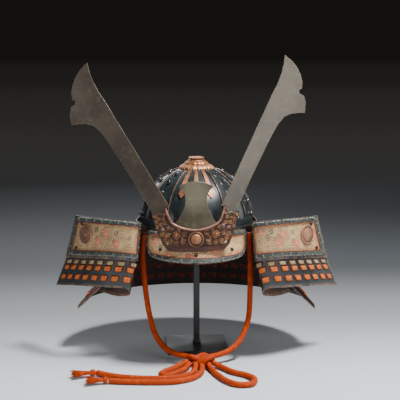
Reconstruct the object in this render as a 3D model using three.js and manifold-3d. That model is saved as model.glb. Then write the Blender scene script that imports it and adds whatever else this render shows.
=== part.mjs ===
// A kabuto helmet on its display stand.
// Millimetres, +Z up, the front of the helmet looks along -Y, and the origin is on the floor
// under the middle of the stand.
import * as THREE from "three";
import { mergeVertices } from "three/addons/utils/BufferGeometryUtils.js";
import Module from "manifold-3d";

const wasm = await Module();
wasm.setup();

// Clearances
const touchGap = 0.3;
const lameGap = 0.95;
const padGap = 0.8;
const faceGap = 0.6;
const bossGap = 0.6;
const guardSeatGap = 0.9;

// Stand
const baseSide = 116;
const baseThickness = 6.5;
const baseTurn = 5;
const postSide = 11.3;
const collarSide = 15;
const collarHeight = 6;
const padRadius = 36;
const padThickness = 9;

// Bowl and its waist band
const bowlWidth = 210;
const bowlLength = 230;
const bowlHeight = 105;
const bowlWall = 2.5;
const bowlSides = 36;
const rimHeight = 245;
const ridgeHeight = 2.6;
const ridgeWidth = 3.2;
const ridgeTopRise = 69;
const ridgeFootRise = 10;
const bandThickness = 1.8;
const bandHeight = 15;
const flangeReach = 2;
const flangeThickness = 1.8;

// Crown fittings
const petalRadius = 33.5;
const petalHeight = 4;
const tierRadius = 20;
const tierHeight = 8;
const topRadius = 10;
const topHeight = 7;
const petalCount = 16;
const petalDepth = 1.6;
const stripThickness = 1.5;
const stripLeafWidth = 13;
const stripTurn = 18;
const stripTopRise = 70;
const stripFootRise = 32;
const stripSeat = 0.55;

// Visor
const visorThickness = 2;
const visorTopTurn = 58;
const visorFootTurn = 71;
const visorFootHalfWidth = 94.5;
const visorFootReach = 90;
const visorFootSetback = 60;
const visorFootHeight = 192;
const visorCornerRise = 8;
const visorSag = 2;
const leatherThickness = 1.2;
const borderWidth = 8;
const borderThickness = 2.2;

// Where the faces end on their plates, in shares of each plate
const faceEnd = 0.985;
const visorFaceTop = 0.1;
const wingFaceTop = 0.015;
const wingFaceFoot = 0.93;
const lameEnd = 0.995;

// Horn base, horns and centre plate
const hornBaseHalfWidth = 78;
const hornBaseBottom = 213;
const hornBaseHeight = 79;
const hornBaseThickness = 2.5;
const hornBaseFlatFrom = 45;
const hornBaseYaw = 12;
const hornBaseRimWidth = 2.7;
const hornBaseRimHeight = 1;
const bossRise = 22.2;
const frontRoll = 1.8;
const bossRadius = 14;
const bossHeight = 6;
const rosetteRadius = 7.5;
const rosetteHeight = 3.4;
const blossomRadius = 4.4;
const blossomHeight = 2;
const hornLengthLeft = 291;
const hornLengthRight = 286;
const hornStemLeft = 33;
const hornStemRight = 30;
const hornThickness = 1.5;
const hornLeanLeft = 30.3;
const hornLeanRight = 27;
const hornRootAcross = 50.6;
const hornRootRise = 78;
const hornTangLength = 26;
const hornTangWidth = 15;
const plateHeight = 90;
const plateHalfWidth = 38;
const plateThickness = 1.6;
const plateTilt = 10;
const plateFootRise = 34;

// Neck guard and wings
const lameThickness = 2;
const guardTopRise = 7;
const guardDrop = 70;
const secondDrop = 70;
const thirdDrop = 32;
const flareSide = 0.682;
const flareBack = 0.459;
const lameOverlap = 0.06;
const lowerOverlap = 0.15;
const wingReach = 271;
const wingDepth = 98;
const wingRise = 24;
const wingBossRadius = 17;
const wingBossHeight = 4;
const smallRivetRadius = 3.6;
const smallRivetHeight = 2.4;

// Chin cord
const cordDiameter = 10;
const ringRadius = 9;
const ringWire = 1.5;
const ringSetback = 40;
const knotWidth = 40;
const knotDepth = 34;
const knotHeight = 24;
const tasselRadius = 9;
const tasselHead = 6.4;

const rad = THREE.MathUtils.degToRad;
const mix = THREE.MathUtils.lerp;
const vec = (x, y, z) => new THREE.Vector3(x, y, z);

// Colours and finishes
const finish = (color, roughness, metalness) =>
  new THREE.MeshStandardMaterial({ color, roughness, metalness });
const lacquer = finish(0x232d32, 0.35, 0.4);
const darkIron = finish(0x283237, 0.5, 0.4);
const gilt = finish(0xbe7d55, 0.4, 0.8);
const copper = finish(0x784b32, 0.5, 0.7);
const hornMetal = finish(0x70685c, 0.5, 0.7);
const pewter = finish(0x7d7562, 0.45, 0.7);
const leather = finish(0xc8aa7d, 0.7, 0);
const bound = finish(0x4b5550, 0.85, 0);
const cordCloth = finish(0xe15523, 0.9, 0);
const standBlack = finish(0x191919, 0.6, 0);

// Turns a mesh's geometry into a solid that can be joined and cut.
function solidOf(geometry) {
  const bare = geometry.index ? geometry.toNonIndexed() : geometry.clone();
  bare.deleteAttribute("normal");
  bare.deleteAttribute("uv");
  const merged = mergeVertices(bare, 1e-4);
  const triVerts = new Uint32Array(merged.index.array);
  const vertProperties = new Float32Array(merged.attributes.position.array);
  const build = () => new wasm.Manifold(new wasm.Mesh({ numProp: 3, vertProperties, triVerts }));
  const solid = build();
  if (solid.volume() >= 0) return solid;
  for (let i = 0; i < triVerts.length; i += 3) {
    const kept = triVerts[i + 1];
    triVerts[i + 1] = triVerts[i + 2];
    triVerts[i + 2] = kept;
  }
  return build();
}

function geometryOf(solid) {
  const mesh = solid.getMesh();
  const geometry = new THREE.BufferGeometry();
  geometry.setAttribute("position", new THREE.BufferAttribute(mesh.vertProperties, 3));
  geometry.setIndex(new THREE.BufferAttribute(mesh.triVerts, 1));
  geometry.computeVertexNormals();
  return geometry;
}

const facingOut = (geometry) => geometryOf(solidOf(geometry));
const joined = (pieces) => geometryOf(pieces.map(solidOf).reduce((sum, next) => sum.add(next)));

const parent = new THREE.Group();

function add(name, geometry, material, group = parent) {
  const mesh = new THREE.Mesh(facingOut(geometry), material);
  mesh.name = name;
  group.add(mesh);
  return mesh;
}

// A body through sections of equally many corners, capped at both ends or closed on itself.
function loft(sections, closesOnItself = false) {
  const corners = sections[0].length;
  const count = sections.length;
  const positions = sections.flat().flatMap((p) => [p.x, p.y, p.z]);
  const index = [];
  const spans = closesOnItself ? count : count - 1;
  for (let i = 0; i < spans; i += 1) {
    const here = i * corners;
    const there = ((i + 1) % count) * corners;
    for (let k = 0; k < corners; k += 1) {
      const next = (k + 1) % corners;
      index.push(here + k, there + k, there + next, here + k, there + next, here + next);
    }
  }
  if (!closesOnItself) {
    const last = (count - 1) * corners;
    for (let k = 1; k < corners - 1; k += 1) {
      index.push(0, k, k + 1, last, last + k + 1, last + k);
    }
  }
  const geometry = new THREE.BufferGeometry();
  geometry.setAttribute("position", new THREE.Float32BufferAttribute(positions, 3));
  geometry.setIndex(index);
  return geometry;
}

const steps = (from, to, count) =>
  Array.from({ length: count + 1 }, (_, i) => mix(from, to, i / count));

// The outward direction of a surface given as a function of two shares.
function outwardAt(surface, u, v) {
  const small = 0.004;
  const along = surface(u + small, v).sub(surface(u - small, v));
  const down = surface(u, v + small).sub(surface(u, v - small));
  return down.cross(along).normalize();
}

const lifted = (surface, u, v, lift) =>
  surface(u, v).addScaledVector(outwardAt(surface, u, v), lift);

// A wall over part of a surface, between two lifts from it.
function wall(surface, uValues, vValues, low, high) {
  const rows = [...vValues];
  const sections = uValues.map((u) => [
    ...rows.map((v) => lifted(surface, u, v, high)),
    ...[...rows].reverse().map((v) => lifted(surface, u, v, low)),
  ]);
  if (rows.length === 2) return loft(sections);
  return gridWall(surface, uValues, rows, low, high);
}

// The same wall with inner rows, so that its two end faces are made of quads as well.
function gridWall(surface, uValues, vValues, low, high) {
  const across = vValues.length;
  const points = [];
  for (const lift of [low, high]) {
    for (const u of uValues) for (const v of vValues) points.push(lifted(surface, u, v, lift));
  }
  const layer = uValues.length * across;
  const at = (top, i, k) => (top ? layer : 0) + i * across + k;
  const index = [];
  const quad = (a, b, c, d) => index.push(a, b, c, a, c, d);
  for (let i = 0; i < uValues.length - 1; i += 1) {
    for (let k = 0; k < across - 1; k += 1) {
      quad(at(1, i, k), at(1, i, k + 1), at(1, i + 1, k + 1), at(1, i + 1, k));
      quad(at(0, i, k), at(0, i + 1, k), at(0, i + 1, k + 1), at(0, i, k + 1));
    }
    quad(at(0, i, 0), at(1, i, 0), at(1, i + 1, 0), at(0, i + 1, 0));
    const end = across - 1;
    quad(at(0, i, end), at(0, i + 1, end), at(1, i + 1, end), at(1, i, end));
  }
  const last = uValues.length - 1;
  for (let k = 0; k < across - 1; k += 1) {
    quad(at(0, 0, k), at(0, 0, k + 1), at(1, 0, k + 1), at(1, 0, k));
    quad(at(0, last, k), at(1, last, k), at(1, last, k + 1), at(0, last, k + 1));
  }
  const geometry = new THREE.BufferGeometry();
  const positions = points.flatMap((p) => [p.x, p.y, p.z]);
  geometry.setAttribute("position", new THREE.Float32BufferAttribute(positions, 3));
  geometry.setIndex(index);
  return geometry;
}

// A raised frame round a patch of a surface. The shares give its outer edge and its widths.
function frame(surface, uFrom, uTo, vFrom, vTo, uWidth, vWidth, low, high, uSteps, vSteps) {
  const loop = [
    ...steps(0, 1, uSteps).slice(0, -1).map((s) => [s, 0]),
    ...steps(0, 1, vSteps).slice(0, -1).map((s) => [1, s]),
    ...steps(1, 0, uSteps).slice(0, -1).map((s) => [s, 1]),
    ...steps(1, 0, vSteps).slice(0, -1).map((s) => [0, s]),
  ];
  const sections = loop.map(([s, t]) => {
    const outer = [mix(uFrom, uTo, s), mix(vFrom, vTo, t)];
    const inner = [mix(uFrom + uWidth, uTo - uWidth, s), mix(vFrom + vWidth, vTo - vWidth, t)];
    return [
      lifted(surface, ...outer, low),
      lifted(surface, ...outer, high),
      lifted(surface, ...inner, high),
      lifted(surface, ...inner, low),
    ];
  });
  return loft(sections, true);
}

// A round low dome on a flat foot, made standing on z = 0.
function dome(radius, height, sides = 12) {
  const rim = height * 0.3;
  const profile = [
    [0, 0],
    [radius, 0],
    [radius, rim],
    [radius * 0.72, height * 0.8],
    [radius * 0.34, height],
    [0, height],
  ].map(([r, h]) => new THREE.Vector2(r, h));
  return new THREE.LatheGeometry(profile, sides).rotateX(Math.PI / 2);
}

// Stands a piece made on z = 0 on a surface, at a lift above it.
function seatedOn(surface, u, v, lift, geometry) {
  const out = outwardAt(surface, u, v);
  const turn = new THREE.Quaternion().setFromUnitVectors(vec(0, 0, 1), out);
  const place = lifted(surface, u, v, lift);
  return geometry.applyQuaternion(turn).translate(place.x, place.y, place.z);
}

// The bowl's surface. Turn is measured from the front, rise from the rim, both in degrees.
function bowlPoint(turn, rise, lift = 0) {
  const flat = Math.cos(rad(rise));
  return vec(
    (bowlWidth / 2 + lift) * flat * Math.sin(rad(turn)),
    -(bowlLength / 2 + lift) * flat * Math.cos(rad(turn)),
    rimHeight + (bowlHeight + lift) * Math.sin(rad(rise)),
  );
}

function makeBowl() {
  const rises = [0, 10, 20, 31, 43, 56, 70, 80];
  const outside = rises.map((rise) => [1, rise]);
  const inside = [...rises].reverse().map((rise) => [0, rise]);
  const half = bowlWidth / 2;
  const innerTop = [0, bowlHeight - bowlWall];
  const profile = [
    innerTop,
    ...inside.map(([, r]) => [
      (half - bowlWall) * Math.cos(rad(r)),
      (bowlHeight - bowlWall) * Math.sin(rad(r)),
    ]),
    ...outside.map(([, r]) => [half * Math.cos(rad(r)), bowlHeight * Math.sin(rad(r))]),
    [0, bowlHeight],
  ].map(([r, h]) => new THREE.Vector2(r, h));
  const shell = new THREE.LatheGeometry(profile, bowlSides)
    .rotateX(Math.PI / 2)
    .scale(1, bowlLength / bowlWidth, 1)
    .translate(0, 0, rimHeight);
  const ridgeTurns = [30, 60, 90, 120, 150].flatMap((turn) => [turn, -turn]).concat(180);
  const ridges = ridgeTurns.map((turn) => makeRidge(turn));
  return joined([shell, ...ridges]);
}

function makeRidge(turn) {
  const sections = steps(ridgeFootRise, ridgeTopRise, 5).map((rise) => {
    const foot = bowlPoint(turn, rise, -bowlWall / 2);
    const crest = bowlPoint(turn, rise, ridgeHeight);
    const side = vec(Math.cos(rad(turn)), Math.sin(rad(turn)), 0).multiplyScalar(ridgeWidth / 2);
    return [
      foot.clone().sub(side),
      foot.clone().add(side),
      crest.clone().addScaledVector(side, 0.4),
      crest.clone().addScaledVector(side, -0.4),
    ];
  });
  return loft(sections);
}

// The waist band stands outside the bowl's foot, with a narrow flange at its lower edge.
function makeBand() {
  const inner = bowlWidth / 2 + touchGap;
  const outer = inner + bandThickness;
  const profile = [
    [inner, 0],
    [outer + flangeReach, 0],
    [outer + flangeReach, flangeThickness],
    [outer, flangeThickness],
    [outer, bandHeight],
    [inner, bandHeight],
    [inner, 0],
  ].map(([r, h]) => new THREE.Vector2(r, h));
  const band = new THREE.LatheGeometry(profile, bowlSides).rotateX(Math.PI / 2);
  const stretch = (bowlLength / 2 + touchGap) / inner;
  return band.scale(1, stretch, 1).translate(0, 0, rimHeight);
}

// Crown fittings follow the bowl's long profile, which stands highest at any reach.
function crownAt(reach) {
  const share = Math.min(reach / (bowlLength / 2), 1);
  return rimHeight + bowlHeight * Math.sqrt(1 - share * share) + touchGap;
}

function makeCrownRing() {
  const reaches = steps(0, 1, petalCount * 2).map((s) => s * 360);
  const sections = reaches.slice(0, -1).map((turn, i) => {
    const reach = petalRadius - (i % 2 ? petalDepth : 0);
    const side = vec(Math.sin(rad(turn)), -Math.cos(rad(turn)), 0);
    const at = (r, z) => side.clone().multiplyScalar(r).setZ(z);
    const bore = tierRadius * 0.5;
    const lift = ridgeHeight * 0.1;
    return [
      at(bore, crownAt(bore) + lift),
      at(reach, crownAt(reach) + lift),
      at(reach, crownAt(reach) + petalHeight * 0.45),
      at(tierRadius, crownAt(tierRadius) + petalHeight),
      at(bore, crownAt(tierRadius) + petalHeight),
    ];
  });
  return loft(sections, true);
}

function makeCrownTiers() {
  const foot = crownAt(tierRadius) + petalHeight + touchGap;
  const profile = [
    [0, 0],
    [tierRadius, 0],
    [tierRadius * 0.95, tierHeight * 0.5],
    [tierRadius * 0.62, tierHeight],
    [topRadius * 0.7, tierHeight + 1],
    [topRadius, tierHeight + topHeight * 0.45],
    [topRadius * 0.75, tierHeight + topHeight],
    [0, tierHeight + topHeight],
  ].map(([r, h]) => new THREE.Vector2(r, h));
  return new THREE.LatheGeometry(profile, 20).rotateX(Math.PI / 2).translate(0, 0, foot);
}

// Columns: down is the share of the strip's length, wide the share of its leaf's width.
const stripOutline = [
  { down: 0, wide: 0.4 },
  { down: 0.25, wide: 0.52 },
  { down: 0.55, wide: 0.66 },
  { down: 0.78, wide: 0.7 },
  { down: 0.88, wide: 1 },
  { down: 1, wide: 0.08 },
];

function makeStrip(turn) {
  const sections = stripOutline.map(({ down, wide }) => {
    const rise = mix(stripTopRise, stripFootRise, down);
    const half = (wide * stripLeafWidth) / 2;
    const side = vec(Math.cos(rad(turn)), Math.sin(rad(turn)), 0).multiplyScalar(half);
    const low = bowlPoint(turn, rise, stripSeat);
    const high = bowlPoint(turn, rise, stripSeat + stripThickness);
    return [low.clone().sub(side), low.clone().add(side), high.clone().add(side), high.sub(side)];
  });
  return loft(sections);
}

// The stand: a turned base plate, a square post, and a pad that follows the bowl's inside.
function makeStand() {
  const turn = rad(baseTurn);
  const base = new THREE.BoxGeometry(baseSide, baseSide, baseThickness);
  add("stand_base", base.translate(0, 0, baseThickness / 2).rotateZ(turn), standBlack);
  const padTop = rimHeight + bowlHeight - bowlWall - padGap;
  const padEdge = (reach) => {
    const share = reach / (bowlWidth / 2 - bowlWall);
    return rimHeight + (bowlHeight - bowlWall) * Math.sqrt(1 - share * share) - padGap;
  };
  const padFoot = padEdge(padRadius) - padThickness;
  const postFoot = baseThickness + touchGap;
  const postTop = padFoot - touchGap;
  const post = new THREE.BoxGeometry(postSide, postSide, postTop - postFoot);
  post.translate(0, 0, (postTop + postFoot) / 2);
  const collar = new THREE.BoxGeometry(collarSide, collarSide, collarHeight);
  collar.translate(0, 0, postFoot + collarHeight / 2);
  add("stand_post", joined([post, collar]).rotateZ(turn), standBlack);
  const profile = [
    [0, padFoot],
    [padRadius * 0.8, padFoot],
    [padRadius, padFoot + padThickness * 0.5],
    [padRadius, padEdge(padRadius)],
    [padRadius * 0.66, padEdge(padRadius * 0.66)],
    [padRadius * 0.33, padEdge(padRadius * 0.33)],
    [0, padTop],
  ].map(([r, h]) => new THREE.Vector2(r, h));
  add("stand_head", new THREE.LatheGeometry(profile, 20).rotateX(Math.PI / 2), standBlack);
}

// The visor's upper surface, from the band's lower edge down and forward.
function visorSurface(u, v) {
  const topTurn = rad(visorTopTurn * u);
  const footTurn = rad(visorFootTurn * u);
  const reach = bandThickness + touchGap;
  const top = vec(
    (bowlWidth / 2 + reach) * Math.sin(topTurn),
    -(bowlLength / 2 + reach) * Math.cos(topTurn),
    rimHeight - 2 * touchGap,
  );
  const foot = vec(
    visorFootHalfWidth * Math.sin(footTurn),
    -visorFootSetback - visorFootReach * Math.cos(footTurn),
    visorFootHeight + visorCornerRise * (1 - Math.cos(footTurn)),
  );
  const sag = visorSag * Math.sin(Math.PI * Math.min(Math.max(v, 0), 1));
  const point = top.lerp(foot, v);
  return point.add(vec(0, -sag, sag * 0.3));
}

// The leather and the frame of a faced plate, in shares of the surface that they lie on.
function faceWith(names, surface, edges, shares) {
  const { uFrom, uTo, vFrom, vTo } = edges;
  const { uWidth, vWidth, uGap, vGap } = shares;
  const low = faceGap;
  const leatherU = steps(uFrom + uWidth + uGap, uTo - uWidth - uGap, shares.uSteps);
  const leatherV = steps(vFrom + vWidth + vGap, vTo - vWidth - vGap, shares.vSteps);
  const leatherWall = wall(surface, leatherU, leatherV, low, low + leatherThickness);
  add(names.leather, leatherWall, leather);
  const high = low + borderThickness;
  const loopU = shares.uSteps;
  const loopV = shares.vSteps;
  const ring = frame(surface, uFrom, uTo, vFrom, vTo, uWidth, vWidth, low, high, loopU, loopV);
  add(names.border, ring, bound);
}

function makeVisor() {
  const plate = wall(visorSurface, steps(-1, 1, 20), steps(0, 1, 4), -visorThickness, 0);
  add("visor_plate", plate, darkIron);
  const depth = visorSurface(0, 1).distanceTo(visorSurface(0, 0));
  const span = 2 * visorFootHalfWidth * 1.12;
  const shares = {
    uWidth: (2 * borderWidth) / span,
    vWidth: borderWidth / depth,
    uGap: (2 * touchGap) / span + 0.002,
    vGap: touchGap / depth + 0.002,
    uSteps: 20,
    vSteps: 4,
  };
  const edges = { uFrom: -faceEnd, uTo: faceEnd, vFrom: visorFaceTop, vTo: faceEnd };
  faceWith({ leather: "visor_leather", border: "visor_border" }, visorSurface, edges, shares);
  const rivetLift = faceGap + leatherThickness + touchGap;
  const spots = [
    { name: "visor_rivet_left", u: -0.6, v: 0.66 },
    { name: "visor_rivet_middle", u: 0, v: 0.74 },
    { name: "visor_rivet_right", u: 0.6, v: 0.66 },
  ];
  for (const { name, u, v } of spots) {
    const rivet = dome(smallRivetRadius, smallRivetHeight, 6);
    add(name, seatedOn(visorSurface, u, v, rivetLift, rivet), darkIron);
  }
}

// The plan line of the horn base: an arc in the middle and flat arms beside it.
const armSlope = Math.tan(rad(hornBaseYaw));
const planRadius = hornBaseFlatFrom / Math.sin(rad(hornBaseYaw));

function planSetback(across) {
  const reach = Math.abs(across);
  if (reach <= hornBaseFlatFrom) {
    return planRadius - Math.sqrt(planRadius * planRadius - reach * reach);
  }
  const atFlat = planRadius * (1 - Math.cos(rad(hornBaseYaw)));
  return atFlat + (reach - hornBaseFlatFrom) * armSlope;
}

// Where the visor's leather stands at the foot of the horn base.
function visorFrontAt(height) {
  const v = steps(0, 1, 60).find((share) => visorSurface(0, share).z <= height);
  return lifted(visorSurface, 0, v, faceGap + leatherThickness).y;
}

const hornBaseBack = visorFrontAt(hornBaseBottom) - touchGap * 1.6;
const hornBaseFront = hornBaseBack - hornBaseThickness;

// Columns: across is the share of the half width, up the share of the height.
const hornBaseOuter = [
  { across: 0.0, up: 0.0 },
  { across: 0.42, up: 0.0 },
  { across: 0.64, up: 0.02 },
  { across: 0.76, up: 0.15 },
  { across: 0.84, up: 0.36 },
  { across: 0.93, up: 0.62 },
  { across: 1.0, up: 0.88 },
];
const hornBaseInner = [
  { across: 0.67, up: 1.0 },
  { across: 0.62, up: 0.85 },
  { across: 0.54, up: 0.68 },
  { across: 0.38, up: 0.585 },
  { across: 0.2, up: 0.53 },
  { across: 0.0, up: 0.505 },
];
const hornBaseNotch = { across: 0.78, up: 0.77 };

// The pierced gaps of one half. Long and wide are shares of the height, turn is in degrees.
const hornBaseGaps = [
  { across: 0.27, up: 0.43, long: 0.12, wide: 0.06, turn: 15 },
  { across: 0.28, up: 0.24, long: 0.12, wide: 0.06, turn: -20 },
  { across: 0.43, up: 0.19, long: 0.13, wide: 0.06, turn: 5 },
  { across: 0.56, up: 0.27, long: 0.12, wide: 0.055, turn: 60 },
  { across: 0.67, up: 0.2, long: 0.11, wide: 0.055, turn: 70 },
  { across: 0.7, up: 0.36, long: 0.11, wide: 0.055, turn: 75 },
  { across: 0.585, up: 0.42, long: 0.09, wide: 0.05, turn: 40 },
  { across: 0.83, up: 0.53, long: 0.1, wide: 0.05, turn: 75 },
  { across: 0.74, up: 0.62, long: 0.08, wide: 0.05, turn: 30 },
  { across: 0.67, up: 0.7, long: 0.11, wide: 0.05, turn: 80 },
  { across: 0.67, up: 0.84, long: 0.09, wide: 0.04, turn: 85 },
  { across: 0.89, up: 0.68, long: 0.11, wide: 0.05, turn: 70 },
  { across: 0.93, up: 0.8, long: 0.09, wide: 0.045, turn: 75 },
];

const onHornBase = ({ across, up }) =>
  new THREE.Vector2(across * hornBaseHalfWidth, up * hornBaseHeight);

// Columns: across is the share of the half width, up the share of the height.
const rosette = { radius: rosetteRadius, height: rosetteHeight, sides: 12, metal: copper };
const blossom = { radius: blossomRadius, height: blossomHeight, sides: 8, metal: gilt };
const hornBaseFlowers = [
  { name: "dai_rosette", across: 0.4487, up: 0.3772, ...rosette },
  { name: "dai_blossom_inner", across: 0.6179, up: 0.5671, ...blossom },
  { name: "dai_blossom_outer", across: 0.7513, up: 0.519, ...blossom },
];

function gapShape({ across, up, long, wide, turn }, side) {
  const middle = onHornBase({ across, up });
  const points = steps(0, 1, 8)
    .slice(0, -1)
    .map((s) => {
      const angle = s * 2 * Math.PI;
      const taper = Math.sin(angle / 2) ** 0.8;
      const along = (Math.cos(angle) * long * hornBaseHeight) / 2;
      const off = (Math.sin(angle) * taper * wide * hornBaseHeight) / 1.6;
      const bend = (along * along) / (hornBaseHeight * 0.9);
      const point = new THREE.Vector2(along, off + bend);
      point.rotateAround(new THREE.Vector2(0, 0), rad(turn)).add(middle);
      return new THREE.Vector2(point.x * side, point.y);
    });
  return new THREE.Path(points);
}

// The flat outline of the horn base, stood up and pushed through the curved slab.
function hornBaseOutline() {
  const half = [...hornBaseOuter, hornBaseNotch, ...hornBaseInner].map(onHornBase);
  const mirrored = [...half].reverse().slice(1, -1);
  const points = [...half, ...mirrored.map((p) => new THREE.Vector2(-p.x, p.y))];
  const shape = new THREE.Shape(points);
  for (const gap of hornBaseGaps) shape.holes.push(gapShape(gap, 1), gapShape(gap, -1));
  return shape;
}

function hornBaseSlab(front, back) {
  const half = hornBaseHalfWidth + 2;
  const middle = steps(-hornBaseFlatFrom, hornBaseFlatFrom, 10);
  const stations = [-half, ...middle, half];
  const low = -2;
  const high = hornBaseHeight + 2;
  const sections = stations.map((x) => [
    vec(x, front + planSetback(x), low),
    vec(x, front + planSetback(x), high),
    vec(x, back + planSetback(x), high),
    vec(x, back + planSetback(x), low),
  ]);
  return loft(sections);
}

function hornBaseRim() {
  const inner = hornBaseInner.map(onHornBase);
  const curve = new THREE.SplineCurve([
    ...inner,
    ...[...inner].reverse().slice(1).map((p) => new THREE.Vector2(-p.x, p.y)),
  ]);
  const sections = curve.getPoints(26).map((p, i) => {
    const tangent = curve.getTangent(Math.min(Math.max(i / 26, 0.01), 0.99));
    const inward = new THREE.Vector2(-tangent.y, tangent.x);
    const at = (off, lift) => {
      const spot = p.clone().addScaledVector(inward, off);
      return vec(spot.x, hornBaseFront + planSetback(spot.x) - lift, spot.y);
    };
    const sunk = -hornBaseThickness * 0.4;
    return [
      at(0, sunk),
      at(0, hornBaseRimHeight),
      at(hornBaseRimWidth, hornBaseRimHeight),
      at(hornBaseRimWidth, sunk),
    ];
  });
  return loft(sections);
}

function makeFront() {
  const front = new THREE.Group();
  const pivot = new THREE.Group();
  pivot.position.set(0, 0, hornBaseBottom + bossRise);
  pivot.rotation.y = -rad(frontRoll);
  front.position.set(0, 0, -bossRise);
  pivot.add(front);
  parent.add(pivot);

  const prismDepth = 80;
  const prism = new THREE.ExtrudeGeometry(hornBaseOutline(), {
    depth: prismDepth,
    bevelEnabled: false,
  })
    .rotateX(Math.PI / 2)
    .translate(0, hornBaseFront + prismDepth * 0.8, 0);
  const slab = hornBaseSlab(hornBaseFront, hornBaseBack);
  const pierced = geometryOf(solidOf(slab).intersect(solidOf(prism)));
  add("kuwagata_dai", joined([pierced, hornBaseRim()]), copper, front);

  const stand = (name, across, up, piece, material) => {
    const reach = Math.abs(across);
    const slope =
      reach < hornBaseFlatFrom ? Math.asin(across / planRadius) : Math.sign(across) * rad(hornBaseYaw);
    const place = vec(across, hornBaseFront + planSetback(across), up);
    const out = vec(Math.sin(slope), -Math.cos(slope), 0);
    const turned = piece.rotateX(Math.PI / 2).rotateZ(slope);
    place.addScaledVector(out, bossGap);
    add(name, turned.translate(place.x, place.y, place.z), material, front);
  };
  stand("dai_boss", 0, bossRise, dome(bossRadius, bossHeight, 20), copper);
  for (const [side, name] of [[-1, "left"], [1, "right"]]) {
    for (const flower of hornBaseFlowers) {
      const place = onHornBase(flower);
      const piece = dome(flower.radius, flower.height, flower.sides);
      stand(`${flower.name}_${name}`, side * place.x, place.y, piece, flower.metal);
    }
  }

  makeHorn("horn_left", {
    side: -1,
    lean: hornLeanLeft,
    stemWidth: hornStemLeft,
    length: hornLengthLeft,
    front,
  });
  makeHorn("horn_right", {
    side: 1,
    lean: hornLeanRight,
    stemWidth: hornStemRight,
    length: hornLengthRight,
    front,
  });
  makeCentrePlate();
}

// Columns: along is the share of the horn's length, out the share of its stem's width.
const hornOutline = [
  { along: 0.0, out: 0.0 },
  { along: 0.745, out: 0.0 },
  { along: 0.812, out: 0.03 },
  { along: 0.892, out: -0.01 },
  { along: 0.948, out: -0.12 },
  { along: 1.0, out: -0.28 },
  { along: 0.99, out: 0.21 },
  { along: 0.967, out: 0.7 },
  { along: 0.938, out: 1.07 },
  { along: 0.9, out: 1.38 },
  { along: 0.862, out: 1.51 },
  { along: 0.846, out: 1.4 },
  { along: 0.83, out: 1.5 },
  { along: 0.829, out: 1.81 },
  { along: 0.796, out: 2.08 },
  { along: 0.735, out: 2.31 },
  { along: 0.717, out: 1.92 },
  { along: 0.695, out: 1.58 },
  { along: 0.662, out: 1.27 },
  { along: 0.601, out: 1.1 },
  { along: 0.527, out: 1.04 },
  { along: 0.446, out: 1.01 },
  { along: 0.223, out: 0.97 },
  { along: 0.0, out: 1.0 },
];

function makeHorn(name, { side, lean, stemWidth, length, front }) {
  const edge = -0.17 * stemWidth;
  const outline = hornOutline.map(({ along, out }) =>
    new THREE.Vector2(side * (out * stemWidth + edge), along * length),
  );
  const middle = stemWidth / 2 + edge;
  const tang = [
    new THREE.Vector2(side * (middle + hornTangWidth / 2), -hornTangLength),
    new THREE.Vector2(side * (middle - hornTangWidth / 2), -hornTangLength),
  ];
  const shoulders = [
    new THREE.Vector2(side * (middle + hornTangWidth / 2), 0),
    ...tang,
    new THREE.Vector2(side * (middle - hornTangWidth / 2), 0),
  ];
  const shape = new THREE.Shape([...outline, ...shoulders]);
  const geometry = new THREE.ExtrudeGeometry(shape, { depth: hornThickness, bevelEnabled: false });
  const holder = new THREE.Group();
  const across = side * hornRootAcross;
  holder.position.set(across, hornBaseBack + planSetback(across), hornRootRise);
  holder.rotation.z = side * rad(hornBaseYaw);
  front.add(holder);
  const horn = add(name, geometry, hornMetal, holder);
  horn.rotation.set(Math.PI / 2, 0, -side * rad(lean));
  horn.position.set(0, hornThickness + touchGap, 0);
}

// Columns: across is the share of the plate's half width, up the share of its height.
const plateOutline = [
  { across: 0.0, up: 0.0 },
  { across: 0.55, up: 0.03 },
  { across: 0.9, up: 0.1 },
  { across: 1.0, up: 0.16 },
  { across: 0.84, up: 0.24 },
  { across: 0.66, up: 0.36 },
  { across: 0.53, up: 0.5 },
  { across: 0.49, up: 0.62 },
  { across: 0.53, up: 0.74 },
  { across: 0.65, up: 0.83 },
  { across: 0.78, up: 0.875 },
  { across: 0.76, up: 0.92 },
  { across: 0.42, up: 0.975 },
  { across: 0.0, up: 1.0 },
];

function makeCentrePlate() {
  const half = plateOutline.map(({ across, up }) =>
    new THREE.Vector2(across * plateHalfWidth, up * plateHeight),
  );
  const mirrored = [...half].reverse().slice(1, -1).map((p) => new THREE.Vector2(-p.x, p.y));
  const shape = new THREE.Shape([...half, ...mirrored]);
  const plate = new THREE.ExtrudeGeometry(shape, { depth: plateThickness, bevelEnabled: false });
  const holder = new THREE.Group();
  const clearOf = ({ across, up }) =>
    planSetback(across * plateHalfWidth) - Math.tan(rad(plateTilt)) * up * plateHeight;
  const behind = plateThickness + Math.max(...plateOutline.map(clearOf)) + touchGap;
  holder.position.set(0, hornBaseBack + behind, hornBaseBottom + plateFootRise);
  parent.add(holder);
  const mesh = add("haraidate", plate, pewter, holder);
  mesh.rotation.set(Math.PI / 2 - rad(plateTilt), 0, 0);
}

// Half of the neck guard in plan, from the middle of the back to the tip of a wing.
// Turn is the angle from the back, pinch draws the lower edges in towards the front.
const guardArc = [
  { turn: 0, midPinch: 1, lowPinch: 1 },
  { turn: 22.5, midPinch: 1, lowPinch: 1 },
  { turn: 45, midPinch: 1, lowPinch: 1 },
  { turn: 67.5, midPinch: 0.99, lowPinch: 0.97 },
  { turn: 90, midPinch: 0.97, lowPinch: 0.92 },
];

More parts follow.
